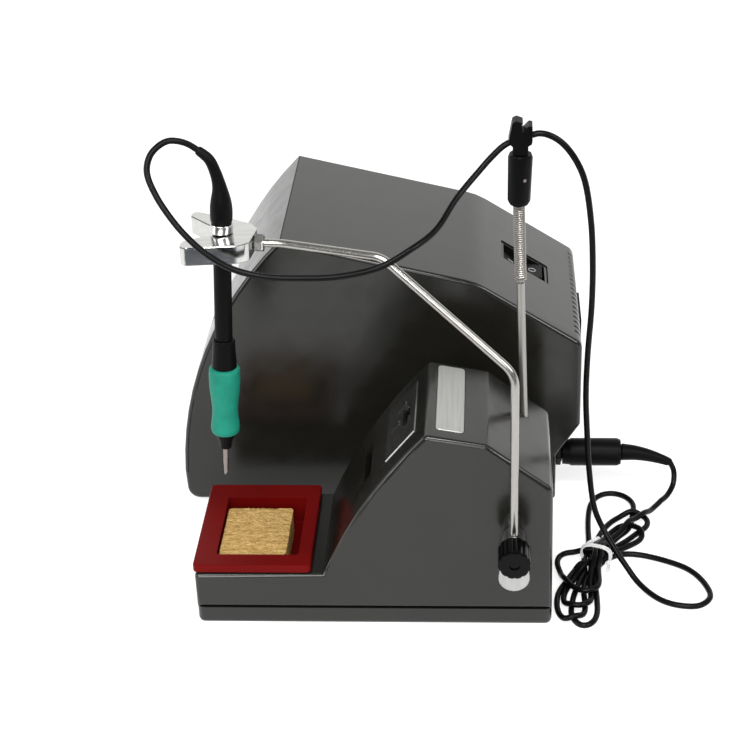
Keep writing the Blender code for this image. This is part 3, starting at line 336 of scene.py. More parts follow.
def make_materials():
    m = {}
    m["case"] = moulded("case", (0.0070, 0.0068, 0.0054), 0.20, 0.08, 0.46)
    m["case_base"] = moulded("case_base", (0.0058, 0.0057, 0.0047), 0.24, 0.08, 0.46)
    red = Look("red", (0.098, 0.0022, 0.0020), 0.34, Specular_IOR_Level=0.05)
    red.vary(red.noise(40, 4), 0.08)
    red.rough(red.noise(120, 5), 0.06)
    red.bump(red.noise(2400, 2), 0.08, 0.00008)
    m["red"] = red.material
    sponge = Look("sponge", (0.50, 0.32, 0.10), 0.95, Specular_IOR_Level=0.08)
    fibres = sponge.noise(700, 6, (0.55, 1, 1))
    sponge.tint(fibres, 0.30, 0.66, (0.26, 0.15, 0.044), (0.45, 0.305, 0.120))
    sponge.bump(sponge.mapped(sponge.cells(1100, (0.6, 1, 1)), 0.0, 0.5, 0.0, 1.0), 0.6, 0.0004)
    sponge.bump(sponge.noise(3200, 4), 0.4, 0.0002)
    m["sponge"] = sponge.material
    m["aluminium"] = metal("aluminium", (0.42, 0.42, 0.415), 0.34, (1, 1, 0.3), 900, 0.05, 0.02)
    m["fork"] = metal("fork", (0.55, 0.55, 0.535), 0.16, (0.15, 1, 1), 700, 0.02, 0.004)
    m["steel"] = metal("steel", (0.33, 0.32, 0.30), 0.34, (1, 1, 0.1), 700, 0.06, 0.03)
    m["arm"] = metal("arm", (0.36, 0.35, 0.33), 0.24, (1, 1, 0.08), 1500, 0.05, 0.03)
    m["spring"] = metal("spring", (0.36, 0.34, 0.32), 0.33, (1, 1, 1), 500, 0.04, 0.01)
    m["tip"] = metal("tip", (0.24, 0.21, 0.195), 0.34, (1, 1, 0.2), 900, 0.08, 0.05)
    m["nut"] = metal("nut", (0.62, 0.61, 0.58), 0.2, (1, 1, 1), 800, 0.06, 0.05)
    m["chrome"] = metal("chrome", (0.56, 0.56, 0.56), 0.24, (1, 1, 1), 300, 0.03, 0.01)
    m["ballast"] = metal("ballast", (0.33, 0.32, 0.31), 0.45, (1, 1, 1), 160, 0.12, 0.2)
    puller = Look("puller", (0.085, 0.085, 0.082), 0.2, 0.85, Coat_Weight=0.5, Coat_Roughness=0.1)
    puller.vary(puller.noise(300, 5), 0.15)
    puller.rough(puller.noise(250, 6), 0.07)
    puller.bump(puller.noise(1500, 3), 0.06, 0.00006)
    m["puller"] = puller.material
    core = Look("core", (0.10, 0.095, 0.09), 0.5, 0.7)
    core.tint(core.noise(1500, 2, (1, 1, 0.02)), 0.35, 0.65, (0.05, 0.048, 0.045), (0.16, 0.15, 0.14))
    core.bump(core.noise(2000, 2, (1, 1, 0.02)), 0.4, 0.0002)
    m["core"] = core.material
    badge = Look("badge", (0.36, 0.36, 0.345), 0.38, 0.55)
    badge.vary(badge.noise(900, 5, (1, 0.03, 1)), 0.10)
    badge.rough(badge.noise(1100, 4, (1, 0.03, 1)), 0.07)
    badge.bump(badge.noise(1400, 3, (1, 0.03, 1)), 0.12, 0.00005)
    m["badge"] = badge.material
    m["black"] = moulded("black", (0.0018, 0.0018, 0.0019), 0.36, 0.10, 0.07)
    m["handle"] = moulded("handle", (0.0018, 0.0018, 0.0020), 0.44, 0.16, 0.07)
    m["knob"] = moulded("knob", (0.0014, 0.0014, 0.0015), 0.16, 0.02, 0.10)
    m["plug"] = moulded("plug", (0.002, 0.002, 0.0022), 0.42, 0.14, 0.08)
    rubber = Look("rubber", (0.0018, 0.0018, 0.0020), 0.46, Specular_IOR_Level=0.08)
    rubber.vary(rubber.noise(70, 5), 0.25)
    rubber.rough(rubber.noise(160, 5), 0.08)
    rubber.bump(rubber.noise(1900, 3), 0.16, 0.00010)
    m["rubber"] = rubber.material
    cord = Look("cord", (0.0018, 0.0018, 0.0020), 0.32, Specular_IOR_Level=0.11)
    cord.vary(cord.noise(60, 4), 0.25)
    cord.rough(cord.noise(140, 5), 0.08)
    cord.bump(cord.noise(1300, 3), 0.10, 0.00010)
    m["cord"] = cord.material
    green = Look("green", (0.006, 0.155, 0.105), 0.55, Specular_IOR_Level=0.15)
    green.vary(green.noise(160, 5), 0.12)
    green.rough(green.noise(500, 4), 0.08)
    green.bump(green.cells(2400), 0.30, 0.00010)
    green.bump(green.noise(900, 4), 0.12, 0.00012)
    m["green"] = green.material
    m["switch"] = moulded("switch", (0.003, 0.003, 0.0032), 0.2, 0.02, 0.3)
    m["lens"] = moulded("lens", (0.006, 0.006, 0.0075), 0.07, 0.0, Coat_Weight=0.6, Coat_Roughness=0.04)
    board = Look("board", (0.010, 0.11, 0.045), 0.4)
    tracks = board.cells(260, feature="DISTANCE_TO_EDGE")
    board.tint(tracks, 0.02, 0.09, (0.16, 0.22, 0.06), (0.008, 0.075, 0.035))
    board.bump(tracks, 0.3, 0.0002)
    m["board"] = board.material
    tie = Look("tie", (0.62, 0.62, 0.61), 0.42)
    tie.vary(tie.noise(500, 4), 0.12)
    tie.bump(tie.noise(900, 3), 0.25, 0.00015)
    m["tie"] = tie.material
    m["mark"] = moulded("mark", (0.45, 0.45, 0.44), 0.5, 0.1)
    return m


# ---- finish of the carried-over CAD nodes ------------------------------------------------
def smoothing(angle):
    """A modifier group: welds a faceted mesh and shades it smooth up to an edge angle."""
    g = bpy.data.node_groups.new(f"smooth_{round(angle)}", "GeometryNodeTree")
    g.interface.new_socket("Geometry", in_out="INPUT", socket_type="NodeSocketGeometry")
    g.interface.new_socket("Geometry", in_out="OUTPUT", socket_type="NodeSocketGeometry")
    begin, end = g.nodes.new("NodeGroupInput"), g.nodes.new("NodeGroupOutput")
    weld = g.nodes.new("GeometryNodeMergeByDistance")
    weld.inputs["Distance"].default_value = 2e-6
    edge = g.nodes.new("GeometryNodeInputMeshEdgeAngle")
    sharp = g.nodes.new("FunctionNodeCompare")
    sharp.data_type, sharp.operation = "FLOAT", "GREATER_THAN"
    sharp.inputs[1].default_value = radians(angle)
    normal = g.nodes.new("GeometryNodeSetMeshNormal")
    normal.inputs["Remove Custom"].default_value = True
    g.links.new(begin.outputs[0], weld.inputs[0])
    g.links.new(weld.outputs[0], normal.inputs["Mesh"])
    g.links.new(edge.outputs["Unsigned Angle"], sharp.inputs[0])
    g.links.new(sharp.outputs[0], normal.inputs["Edge Sharpness"])
    g.links.new(normal.outputs[0], end.inputs[0])
    return g


def dress(materials):
    """Materials and softened edges for every CAD node that stays."""
    looks = {
        "case": ("stand_shell", "main_shell", "front_panel"),
        "case_base": ("stand_base", "main_base"),
        "red": ("sponge_tray",),
        "aluminium": ("pivot_block",),
        "fork": ("tool_fork",),
        "tip": ("tip_cartridge",),
        "steel": ("guide_rod", "clamp_stud", "pivot_screw_1", "pivot_screw_2",
                  "stand_screw_1", "stand_screw_2", "main_screw_1", "main_screw_2"),
        "nut": ("fork_nut",),
        "chrome": ("handle_collar",),
        "ballast": ("ballast_plate",),
        "puller": ("tip_puller_plate",),
        "core": ("transformer",),
        "badge": ("name_plate",),
        "black": ("switch_rocker", "guide_sleeve", "guide_clip", "button_down", "button_set", "button_up",
                  "mains_inlet", "output_socket", "socket_nut"),
        "switch": ("switch_housing",),
        "handle": ("handle_tube", "handle_sleeve", "nose_cone"),
        "knob": ("clamp_knob",),
        "plug": ("plug_body",),
        "rubber": ("stand_foot_1", "stand_foot_2", "stand_foot_3", "stand_foot_4", "main_foot_1",
                   "main_foot_2", "main_foot_3", "main_foot_4"),
        "lens": ("display_lens",),
        "board": ("display_board", "power_board"),
    }
    bevels = {"sponge_tray": 0.6, "name_plate": 0.3, "tip_puller_plate": 0.3, "tool_fork": 0.35,
              "pivot_block": 0.4, "plug_body": 0.35, "switch_rocker": 0.3, "switch_housing": 0.3,
              "mains_inlet": 0.3, "guide_clip": 0.3, "handle_sleeve": 0.25, "output_socket": 0.2,
              "socket_nut": 0.2}
    crisp, soft_case = smoothing(34.0), smoothing(50.0)
    for look, names in looks.items():
        for name in names:
            node = NODES[name]
            for slot in node.material_slots:
                slot.material = materials[look]
            step = node.modifiers.new("smooth", "NODES")
            step.node_group = soft_case if look in ("case", "case_base") else crisp
            if name in bevels:
                soft = node.modifiers.new("soft_edges", "BEVEL")
                soft.width, soft.segments, soft.limit_method = bevels[name] * MM, 2, "ANGLE"
                soft.angle_limit = radians(42)
            even = node.modifiers.new("even_shading", "WEIGHTED_NORMAL")
            even.mode, even.weight, even.keep_sharp = "FACE_AREA", 80, True


# ---- the cord ----------------------------------------------------------------------------
CORD = 1.5
LOOP_ROUTE = [(12.9, 28, 237.2), (8.3, 28, 240.4), (4, 27.5, 242.1), (-0.4, 27, 242.4), (-4.4, 26, 240.7),
              (-8.1, 24.5, 237.3), (-9.9, 22.5, 232.9), (-9.8, 20.5, 228.5), (-6.2, 16.5, 221),
              (-0.7, 12.5, 213.3), (6.6, 8.5, 205.3), (16, 6, 196.9), (27.7, 4.8, 189.9),
              (41.5, 4, 186.6), (57.9, 3.4, 186), (75.7, 3, 187), (93.7, 3.5, 191.3),
              (106.6, 9, 196.8), (117.8, 20, 201.4), (127.4, 34.5, 210.9), (137.7, 45, 219.8),
              (143.6, 49.2, 225.1)]
DROP_ROUTE = [(167.1, 52, 234.2), (171.6, 52.2, 232.2), (176.2, 52.5, 228.3), (181.3, 53, 221),
              (185.5, 53.5, 211), (189, 54.5, 190.4), (190.5, 55.5, 167), (190.6, 56.2, 145),
              (189.4, 57, 118), (189.1, 57, 95.6), (190.1, 56.7, 75.7), (191.6, 55.5, 54), (195, 53.5, 31),
              (199.8, 50, 20.5), (204.6, 43.5, 14.4), (209.8, 36.6, 9.2), (216.5, 28, 3.6),
              (226, 17.5, 1.6), (235.3, 12.6, 1.6), (244.8, 12.6, 1.6), (250.8, 19.4, 1.6),
              (249.4, 31, 1.6), (242.6, 43.2, 1.6), (231, 51.2, 1.6), (218, 56.2, 1.6)]
HANK_ROUTE = [
    # in through the tie, and the loop that reaches furthest to the front
    (207.5, 56.5, 1.6), (201, 53, 1.6), (196, 44, 1.6), (195, 33, 1.6), (195, 20, 1.6), (194.3, 8, 1.6),
    (193, -1, 1.6), (187.8, -5.4, 1.6), (182.4, -1.2, 1.6), (181.6, 9, 1.6), (183.8, 21, 1.6), (188, 34, 1.6),
    (191.5, 45, 1.6),
    # the wide loop at the back
    (192.5, 56, 2.5), (193.3, 68, 1.6), (193.6, 80, 1.6), (194.5, 93, 1.6), (196.5, 104, 1.6),
    (201, 112.5, 1.6), (208, 115, 1.6), (214.5, 112, 1.6), (218.8, 104, 1.6), (219, 94, 1.6),
    (215.5, 84, 1.6), (208, 71, 2.0), (200, 58, 4.6),
    # the loop against the stand's back
    (192.5, 47.5, 4.6), (184.5, 39.5, 3.2), (179, 29.5, 1.6), (175.8, 18, 1.6), (175.2, 8, 1.6),
    (178.2, 0.6, 2.4), (184, -0.6, 4.6), (188.4, 5.5, 4.8), (188.8, 16, 4.8), (188.6, 25, 4.8),
    (190, 35, 4.8), (193, 46, 4.8),
    # the second loop at the back
    (195.2, 57, 5.5), (197, 67, 4.8), (200.8, 77.5, 4.6), (206, 86, 4.6), (213, 92.6, 4.6),
    (220, 94.8, 3.4), (225, 91, 1.8), (224.8, 83.5, 1.6), (219.5, 75.5, 1.6), (212, 67, 2.0),
    (204, 58.5, 4.4),
    # a short loop between them
    (196, 50.5, 6.0), (188.5, 41, 6.5), (182, 31, 5.4), (178.4, 20.5, 4.8), (179.6, 12, 5.2),
    (185.4, 7.6, 6.6), (191, 12, 7.0), (192, 22.5, 7.6), (192.2, 35, 7.8), (194.5, 46, 7.8),
    (197, 57, 8.2), (200.3, 67.5, 7.2), (205.5, 76, 6.0), (212.4, 81, 4.8), (219, 79, 3.2),
    (221, 72, 2.4), (215.8, 66, 2.4), (207.5, 61.5, 3.6), (197.5, 56.6, 5.0),
    # the small loop to the left and the last way back
    (188.5, 58, 4.0), (181, 58.2, 2.2), (176.5, 52.5, 1.6), (176.8, 44, 2.2), (180, 35, 5.6),
    (182.6, 25.5, 8.4), (187.8, 19.5, 9.4), (194.2, 20.6, 9.4), (196.6, 27.5, 9.2), (196.2, 36.5, 8.8),
    (196, 45, 8.6), (199, 56, 8.2),
    (204, 65, 7.6), (210, 73.5, 6.8), (216, 82, 6.4), (221.6, 90, 6.2)]
TAIL_ROUTE = [(227.4, 97.8, 4.4), (232.6, 105, 2.4), (237.6, 112.4, 1.8), (241.4, 119.5, 4.8),
              (241.8, 123.2, 10.6), (239.8, 124, 15.4)]
LOOP_SPLITS = (16, 6, 196.9), (127.4, 34.5, 210.9)  # where one stretch hands over to the next
GUIDE_FOOT, GUIDE_LEAN, HEAD_LEAN = Vector((158.7, 52.0, 86.6)), radians(1.6), radians(2.9)
HEAD_FOOT, GUIDE_CLIP = 113.6, 139.1  # distances up the guide
CLIP_PATH = [(-7.0, 0.0, 3.4), (0.5, 0.0, 6.9), (7.5, 0.0, 9.0)]


def guide_place():
    """The guide's rod, w up along it, zero at its foot."""
    w = Vector((-sin(GUIDE_LEAN), 0, cos(GUIDE_LEAN)))
    u = Vector((w.z, 0, -w.x))
    return frame_of(GUIDE_FOOT, u, w.cross(u))


def head_place():
    """The guide's head, which sits straighter than the rod, on the same distances up."""
    turn = Matrix.Translation((0, 0, HEAD_FOOT)) @ Matrix.Rotation(HEAD_LEAN, 4, "Y")
    return guide_place() @ turn @ Matrix.Translation((0, 0, -HEAD_FOOT))


def settle(line, rounds=160, near=3.05, spacing=2.5):
    """Lets a wound stretch of cord push itself apart and lie on the bench, its ends held."""
    held, neighbours = 3, 7  # points held at each end, and how far along the cord a point pushes none
    lift, share_of_gap, longest, fall, stiffness = 0.6, 0.2, 0.4, 0.03, 0.3
    lowest = CORD + 0.1
    p = np.array([tuple(v) for v in spaced(line, round(length_of(line) / spacing) + 1)], float)
    n = len(p)
    free = slice(held, n - held)
    index = np.arange(n)
    apart = np.abs(index[:, None] - index[None, :]) > neighbours
    order = np.sign(index[:, None] - index[None, :])
    for _ in range(rounds):
        gap = p[:, None] - p[None, :]
        level = np.abs(gap[..., 2]) < lift
        gap[..., 2] += np.where(level, order * lift, 0.0)
        far = np.linalg.norm(gap, axis=2) + 1e-6
        share = np.where(apart & (far < near), (near - far) / far * share_of_gap, 0.0)
        push = np.clip((share[..., None] * gap).sum(1), -longest, longest)
        push[:, 2] -= fall
        push[1:-1] = push[:-2] * 0.25 + push[1:-1] * 0.5 + push[2:] * 0.25
        p[free] += push[free]
        wide = (p[1:-3] + p[3:-1]) * 4 / 6 - (p[:-4] + p[4:]) / 6
        p[free] += ((wide - p[2:-2]) * stiffness)[1:-1]
        p[free, 2] = np.maximum(p[free, 2], lowest)
    return smooth([Vector(v) for v in p])


def cord_piece(name, line, material, **facts):
    """One stretch of the cord as a mesh tube that follows the line."""
    obj = made(name, tube_mesh(line, CORD, 12), material)
    ends = facts.pop("ends")
    return obj


def nearest(line, p):
    """The index of the line's point that is nearest to p."""
    return min(range(len(line)), key=lambda i: (line[i] - Vector(p)).length)


def make_cord(m, fittings):
    """Three stretches: each crosses one joint, and the last is wound into the hank."""
    clip = head_place() @ Matrix.Translation((0, 0, GUIDE_CLIP))
    into, middle, out = (clip @ Vector(p) for p in CLIP_PATH)
    loop = smooth([*LOOP_ROUTE, into, middle, out])
    first, second = (nearest(loop, p) for p in LOOP_SPLITS)
    upper, swag, rise = loop[:first + 1], loop[first:second + 1], loop[second:]
    drop = smooth([rise[-2], out, *DROP_ROUTE, *HANK_ROUTE, *TAIL_ROUTE])[2:]
    start, end = nearest(drop, DROP_ROUTE[-2]), nearest(drop, TAIL_ROUTE[2])
    wound = settle(drop[start:end])
    rest = [*rise, *drop[:start], *wound[:-1], *drop[end - 1:]]

    left = cord_piece("cord_at_iron", upper, m["cord"], ends="object", lay="loose")
    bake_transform(left)
    put(left, None, "cord", "cord_loop")
    across = cord_piece("cord_to_guide", swag, m["cord"], ends="object", lay="hanging")
    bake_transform(across)
    put(across, None, "cord", "cord_loop")
    down = cord_piece("cord_to_plug", rest, m["cord"], ends="plug", lay="coiled",
                      with_pieces=[NODES["plug_body"], *fittings])
    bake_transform(down)
    put(down, None, "cord", "cord_drop", "cord_hank", "cord_tail")


# ---- detailed pieces ---------------------------------------------------------------------
POST = Vector((153.3, -9.0))
ROD, ARM_HEADING, ARM_REACH = 1.95, radians(17.8), 62.4
ARM_FOOT, ARM_RISE, ARM_TOP = 42.5, 143.6, 192.9  # heights of its foot, lower bend and upper run
BENDS = 13.0, 11.0, 25.0  # its three bend radii, from the foot up
FORK_HEADING, FORK_END = radians(5.0), Vector((35.0, 26.6))
SEAT_AT, IRON_LEAN = 15.1, radians(3.1)


def iron_place():
    """The iron's axis through the fork's seat, w up along it, zero near the bench."""
    c, s = cos(FORK_HEADING), sin(FORK_HEADING)
    seat = Vector((FORK_END.x - c * SEAT_AT, FORK_END.y + s * SEAT_AT, ARM_TOP))
    to_bench = Matrix.Translation((0, 0, -ARM_TOP))
    return Matrix.Translation(seat) @ Matrix.Rotation(IRON_LEAN, 4, "Y") @ to_bench


def make_arm(m):
    """The bent bar from the pivot block to the fork, which it ends inside."""
    way = Vector((-cos(ARM_HEADING), sin(ARM_HEADING)))
    upper = POST + way * ARM_REACH
    into = Vector((-cos(FORK_HEADING), sin(FORK_HEADING)))
    before_fork, inside_fork = 13.0, 8.0
    meet, tip = FORK_END - into * before_fork, FORK_END + into * inside_fork
    corners = [(*POST, ARM_FOOT), (*POST, ARM_RISE), (*upper, ARM_TOP), (*meet, ARM_TOP), (*tip, ARM_TOP)]
    line = bent(list(zip(corners, (0, *BENDS, 0))))
    line = spaced(line, 160)
    put(made("swivel_arm", tube_mesh(line, ROD, 24), m["arm"]), "arm", "steel", "arm_rod")


def tapered(line, shares, radii):
    """A radius for each of the line's points, from (share of its length, radius) keys."""
    return [float(np.interp(i / (len(line) - 1), shares, radii)) for i in range(len(line))]


def make_boots(m):
    """The rubber boots that take the cord's bending at the iron and at the plug."""
    place = iron_place()
    foot = 202.5
    route = [(0, 0, foot), (0, 0, 208), (-0.1, 0, 214), (-0.6, 0, 220), (-2.5, 0, 227.4), (-5.1, 0, 233)]
    over_cord = [Vector((13.2, 28.0, 236.9)), Vector((12.2, 28.0, 237.7))]
    line = smooth([*(place @ Vector(p) for p in route), *over_cord], 0.8)
    shares = [0, 0.03, 0.07, 0.14, 0.21, 0.29, 0.36, 0.43, 0.5, 0.57, 0.64, 0.71, 0.79, 0.86, 0.97, 1.0]
    radii = [4.6, 5.05, 5.15, 5.2, 5.1, 4.7, 4.1, 3.5, 3.1, 2.85, 2.7, 2.6, 2.5, 2.4, 2.2, 1.9]
    boot = made("iron_boot", tube_mesh(line, tapered(line, shares, radii), 28), m["rubber"])
    put(boot, "iron", "rubber", "handle_boot")
    line = smooth([(212.9, 124, 22.3), (221, 124, 21.6), (230, 124, 19.4), (239.0, 124, 15.9),
                   (239.6, 124, 15.5)], 0.5)
    radii = tapered(line, [0, 0.02, 0.5, 0.96, 1], [4.2, 4.6, 3.5, 2.3, 1.9])
    return put(made("plug_relief", tube_mesh(line, radii, 28), m["rubber"]), "base", "rubber", "plug_boot")


def make_grip(m):
    """The soft sleeve: a swelling where the fingers rest, its rims rolled, fine foam skin."""
    place = iron_place()
    foot, top = 92.0, 127.8
    keys = [(foot, 6.1), (92.6, 6.7), (94.5, 7.0), (97.5, 6.75), (101.5, 6.25), (105.5, 6.15), (109.5, 6.5),
            (115.5, 7.2), (121.5, 7.5), (126.6, 7.35), (127.5, 7.0), (top, 6.4)]
    heights, radii = zip(*keys)
    bore_low, bore_high, skin = 5.4, 5.6, 5.0
    levels = [float(h) for h in np.linspace(foot, top, 70)]
    plain = [float(np.interp(h, heights, radii)) for h in levels]
    padded = [plain[0], *plain, plain[-1]]
    profile = [(sum(padded[i:i + 3]) / 3, h) for i, h in enumerate(levels)]
    bm = lathe([(bore_low, foot), *profile[1:-1], (bore_high, top)], place, 64)
    for v in bm.verts:
        local = (v.co - BENCH) / MM
        swell = noise.noise(local * 0.35) * 0.05 + noise.noise(local * 1.6) * 0.018
        axis = place @ Vector((0, 0, (place.inverted() @ local).z))
        out = local - axis
        if out.length > skin:
            v.co += out.normalized() * swell * MM
    put(made("grip", bm, m["green"], 60), "iron", "green", "grip_sleeve")


def make_spring(m):
    """The close-wound spring between the guide's rod and its head."""
    place, head = guide_place(), head_place()
    foot, top, wire, radius = 74.2, 117.6, 0.47, 2.41
    turns, per_turn = 39, 16
    line = []
    for k in range(turns * per_turn + 1):
        share = k / (turns * per_turn)
        h = foot + wire + (top - foot - 2 * wire) * share
        a = tau * k / per_turn
        local = Vector((radius * cos(a), radius * sin(a), h))
        line.append((place if h < HEAD_FOOT else head) @ local)
    spring = made("wound_spring", tube_mesh(line, wire, 8), m["spring"])
    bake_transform(spring)
    put(spring, None, "steel", "guide_spring")


def gridded_block(low, high, counts):
    """A block whose six faces are grids that share their edge points."""
    bm, size, grid = bmesh.new(), high - low, {}

    def point(key):
        if key not in grid:
            share = [k / n for k, n in zip(key, counts)]
            grid[key] = bm.verts.new(low + Vector([a * b for a, b in zip(share, size)]))
        return grid[key]

    for fixed in (2, 1, 0):
        u, v = (axis for axis in range(3) if axis != fixed)
        for level in (0, counts[fixed]):
            for i in range(counts[u]):
                for j in range(counts[v]):
                    face = []
                    for step_u, step_v in ((0, 0), (1, 0), (1, 1), (0, 1)):
                        key = [level] * 3
                        key[u], key[v] = i + step_u, j + step_v
                        face.append(point(tuple(key)))
                    bm.faces.new(face)
    bmesh.ops.recalc_face_normals(bm, faces=bm.faces)
    bm.normal_update()
    return bm


def rounded_in(p, low, high, edge, corner_r):
    """A block's surface point drawn in to its round edges and its rounder upright corners."""
    p = p.copy()
    middle, half = (low + high) / 2, (high - low) / 2
    over = Vector((abs(p.x - middle.x) - half.x + corner_r, abs(p.y - middle.y) - half.y + corner_r, 0))
    if over.x > 0 and over.y > 0 and over.length > corner_r:
        drawn = over * (corner_r / over.length) - over
        p.x += drawn.x * (1 if p.x > middle.x else -1)
        p.y += drawn.y * (1 if p.y > middle.y else -1)
    room = Vector((edge, edge, edge * 0.6))
    inner = Vector([min(max(c, a + r), b - r) for c, a, b, r in zip(p, low, high, room)])
    out = p - inner
    return inner + out.normalized() * min(out.length, edge) if out.length > 1e-6 else p


def worn_depth(p):
    """How far a sponge's surface lies below its block, from its wrinkles, fibres and pits."""
    sway = noise.noise(p * 0.12) * 2.0
    wrinkle = noise.fractal(Vector((p.x * 0.26, p.y * 0.62 + sway, p.z * 0.6)), 0.9, 2.1, 3)
    fine = noise.fractal(Vector((p.x * 0.9, p.y * 1.3, p.z * 1.2)) + Vector((9, 4, 2)), 0.8, 2.0, 3)
    pit = noise.voronoi(Vector((p.x * 0.55, p.y * 0.8, p.z * 0.8)))[0][0]
    return max(0.02, 0.55 - 0.40 * wrinkle - 0.34 * fine + max(0.0, 0.32 - pit) * 1.4)


def make_sponge(m):
    """A wetted cellulose sponge: torn edges, pits and wrinkles pressed across it."""
    low, high = ((p - BENCH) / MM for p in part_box("sponge"))
    bm = gridded_block(low, high, (84, 104, 16))
    moves = {}
    for v in bm.verts:
        p = rounded_in(v.co, low, high, 1.6, 3.4)
        moves[v] = p - v.normal * worn_depth(p)
    for v, p in moves.items():
        v.co = at(p)
    sponge = made("cellulose_sponge", bm, m["sponge"], 180)
    put(sponge, "pad", "sponge", "sponge")


def make_tie(m):
    """A twist tie wound twice round the hank, its ends twisted together on either side."""
    low, high = ((p - BENCH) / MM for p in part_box("cord_tie"))
    middle = Vector(((low.x + high.x) / 2 + 1.6, (low.y + high.y) / 2 - 0.6, 0))
    along = Vector((0.40, 0.92, 0)).normalized()
    side = Vector((along.y, -along.x, 0))
    wire, end_wire, twist, twist_r = 0.62, 0.55, 3.2, 0.5
    half_wide, half_high, squareness = 7.3, 5.0, 0.72
    bm = None
    for turn in (0, 1):
        line = []
        for k in range(49):
            a = tau * k / 48
            reach = (half_wide + 0.3 * turn) * np.sign(cos(a)) * abs(cos(a)) ** squareness
            height = 5.7 + half_high * np.sign(sin(a)) * abs(sin(a)) ** squareness
            lean = (turn - 0.5) * 1.35 + 1.0 * cos(a)
            line.append(middle + side * float(reach) + along * lean + Vector((0, 0, float(height))))
        bm = tube_mesh(line, wire, 8, bm)
    ends = (((-4.8, 0.8, 10.4), (-1.8, 9.0, 9.6)), ((7.2, -0.8, 3.6), (9.2, -6.4, 1.5)))
    for end in ends:
        start, stop = (middle + side * p[0] + along * p[1] + Vector((0, 0, p[2])) for p in end)
        way = (stop - start).normalized()
        u = way.orthogonal().normalized()
        v = way.cross(u)
        turns = (stop - start).length / twist
        for phase in (0, pi):
            line = []
            for k in range(25):
                a = tau * turns * k / 24 + phase
                line.append(start.lerp(stop, k / 24) + (u * cos(a) + v * sin(a)) * twist_r)
            bm = tube_mesh(line, end_wire, 8, bm)
    return put(made("twist_tie", bm, m["tie"]), "base", "tie", "cord_tie")


def make_jaws(m):
    """Two leaf springs under the tip puller's hole, which grip a spent tip."""
    low, high = ((p - BENCH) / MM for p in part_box("tip_puller_plate"))
    middle, across = (low + high) / 2, high - low
    thick, hole_at, leaf, half_wide = 2.2, 4.2, 0.5, 6.2
    a = atan2(across.z, across.x)
    for _ in range(4):  # the plate's own slope, without its thickness
        a = atan2(across.z - thick * cos(a), across.x - thick * sin(a))
    up, inward = Vector((cos(a), 0, sin(a))), Vector((sin(a), 0, -cos(a)))
    curve = [(2.6, 1.5), (1.6, 2.2), (0.75, 3.4), (0.55, 4.6), (0.9, 6.0), (1.7, 7.4)]
    outline = [*curve, *((u + leaf, w + leaf / 2) for u, w in reversed(curve))]
    for name, sign in (("jaw_low", -1), ("jaw_high", 1)):
        place = frame_of(middle + up * hole_at, up * sign, inward)
        jaw = outline_slab(outline, -half_wide, half_wide, place, 0.12, 1)
        put(made(name, jaw, m["steel"], 50), "base", "steel")


SLEEVE_R, SCREW_HEIGHT, SCREW_TURN = 5.3, 127.0, radians(24)  # the set screw in the guide's sleeve
WALL_PIP = (166.3, -1.8, 41.7)
RIDGE_TOP, SLOPE_END = Vector((135.1, 0, 132.0)), Vector((189.7, 0, 97.0))
SWITCH_X, SWITCH_Y, ROCKER_DEPTH, ROCKER_TILT = 161.0, 168.0, 6.0, radians(7.0)
ROCKER_RUN, ROCKER_FALL, MARK_AT, MARK_DEPTH = 0.969, 0.246, 6.4, -3.27


def make_small_marks(m):
    """The guide's set screw and the pip on the stand's wall."""
    up, out = Vector((0, 0, 1)), Vector((sin(SCREW_TURN), -cos(SCREW_TURN), 0))
    place = head_place() @ frame_of(out * SLEEVE_R + up * SCREW_HEIGHT, up, up.cross(out))
    screw = lathe([(0.8, -0.3), (0.8, 0.2), (0.62, 0.3), (0.36, 0.3), (0.34, 0.05)], place, 20)
    put(made("guide_screw", screw, m["tip"], 40), "guide_head", "steel")
    wall = frame_of(WALL_PIP, (1, 0, 0), (0, 0, 1))
    pip = lathe([(0.62, -0.2), (0.6, 0.1), (0.4, 0.24), (0.1, 0.3)], wall, 18)
    put(made("wall_pip", pip, m["case"], 60), "base", "case")


def make_switch_marks(m):
    """The plain ring and bar on the rocker's two halves."""
    slope = (SLOPE_END - RIDGE_TOP).normalized()
    centre = RIDGE_TOP + slope * ((SWITCH_X - RIDGE_TOP.x) / slope.x)
    centre.y = SWITCH_Y
    switch = frame_of(centre, slope, (0, -1, 0))
    rocker = switch @ Matrix.Translation((0, 0, ROCKER_DEPTH)) @ Matrix.Rotation(ROCKER_TILT, 4, "Y")
    line_r, ring_r, bar_half = 0.17, 1.9, 1.8
    spot = rocker @ frame_of((MARK_AT, 0, MARK_DEPTH), (ROCKER_RUN, 0, -ROCKER_FALL), (0, 1, 0))
    ring = [spot @ Vector((ring_r * cos(tau * k / 32), ring_r * sin(tau * k / 32), 0)) for k in range(33)]
    put(made("off_mark", tube_mesh(ring, line_r, 6), m["mark"]), "rocker", "tie")
    spot = rocker @ frame_of((-MARK_AT, 0, MARK_DEPTH), (ROCKER_RUN, 0, ROCKER_FALL), (0, 1, 0))
    bar = [spot @ Vector((x, 0, 0)) for x in np.linspace(-bar_half, bar_half, 9)]
    put(made("on_mark", tube_mesh(bar, line_r, 6), m["mark"]), "rocker", "tie")


FLOOR_R, BACKDROP_R, BACKDROP_HEIGHT = 9.0, 8.9, 8.0


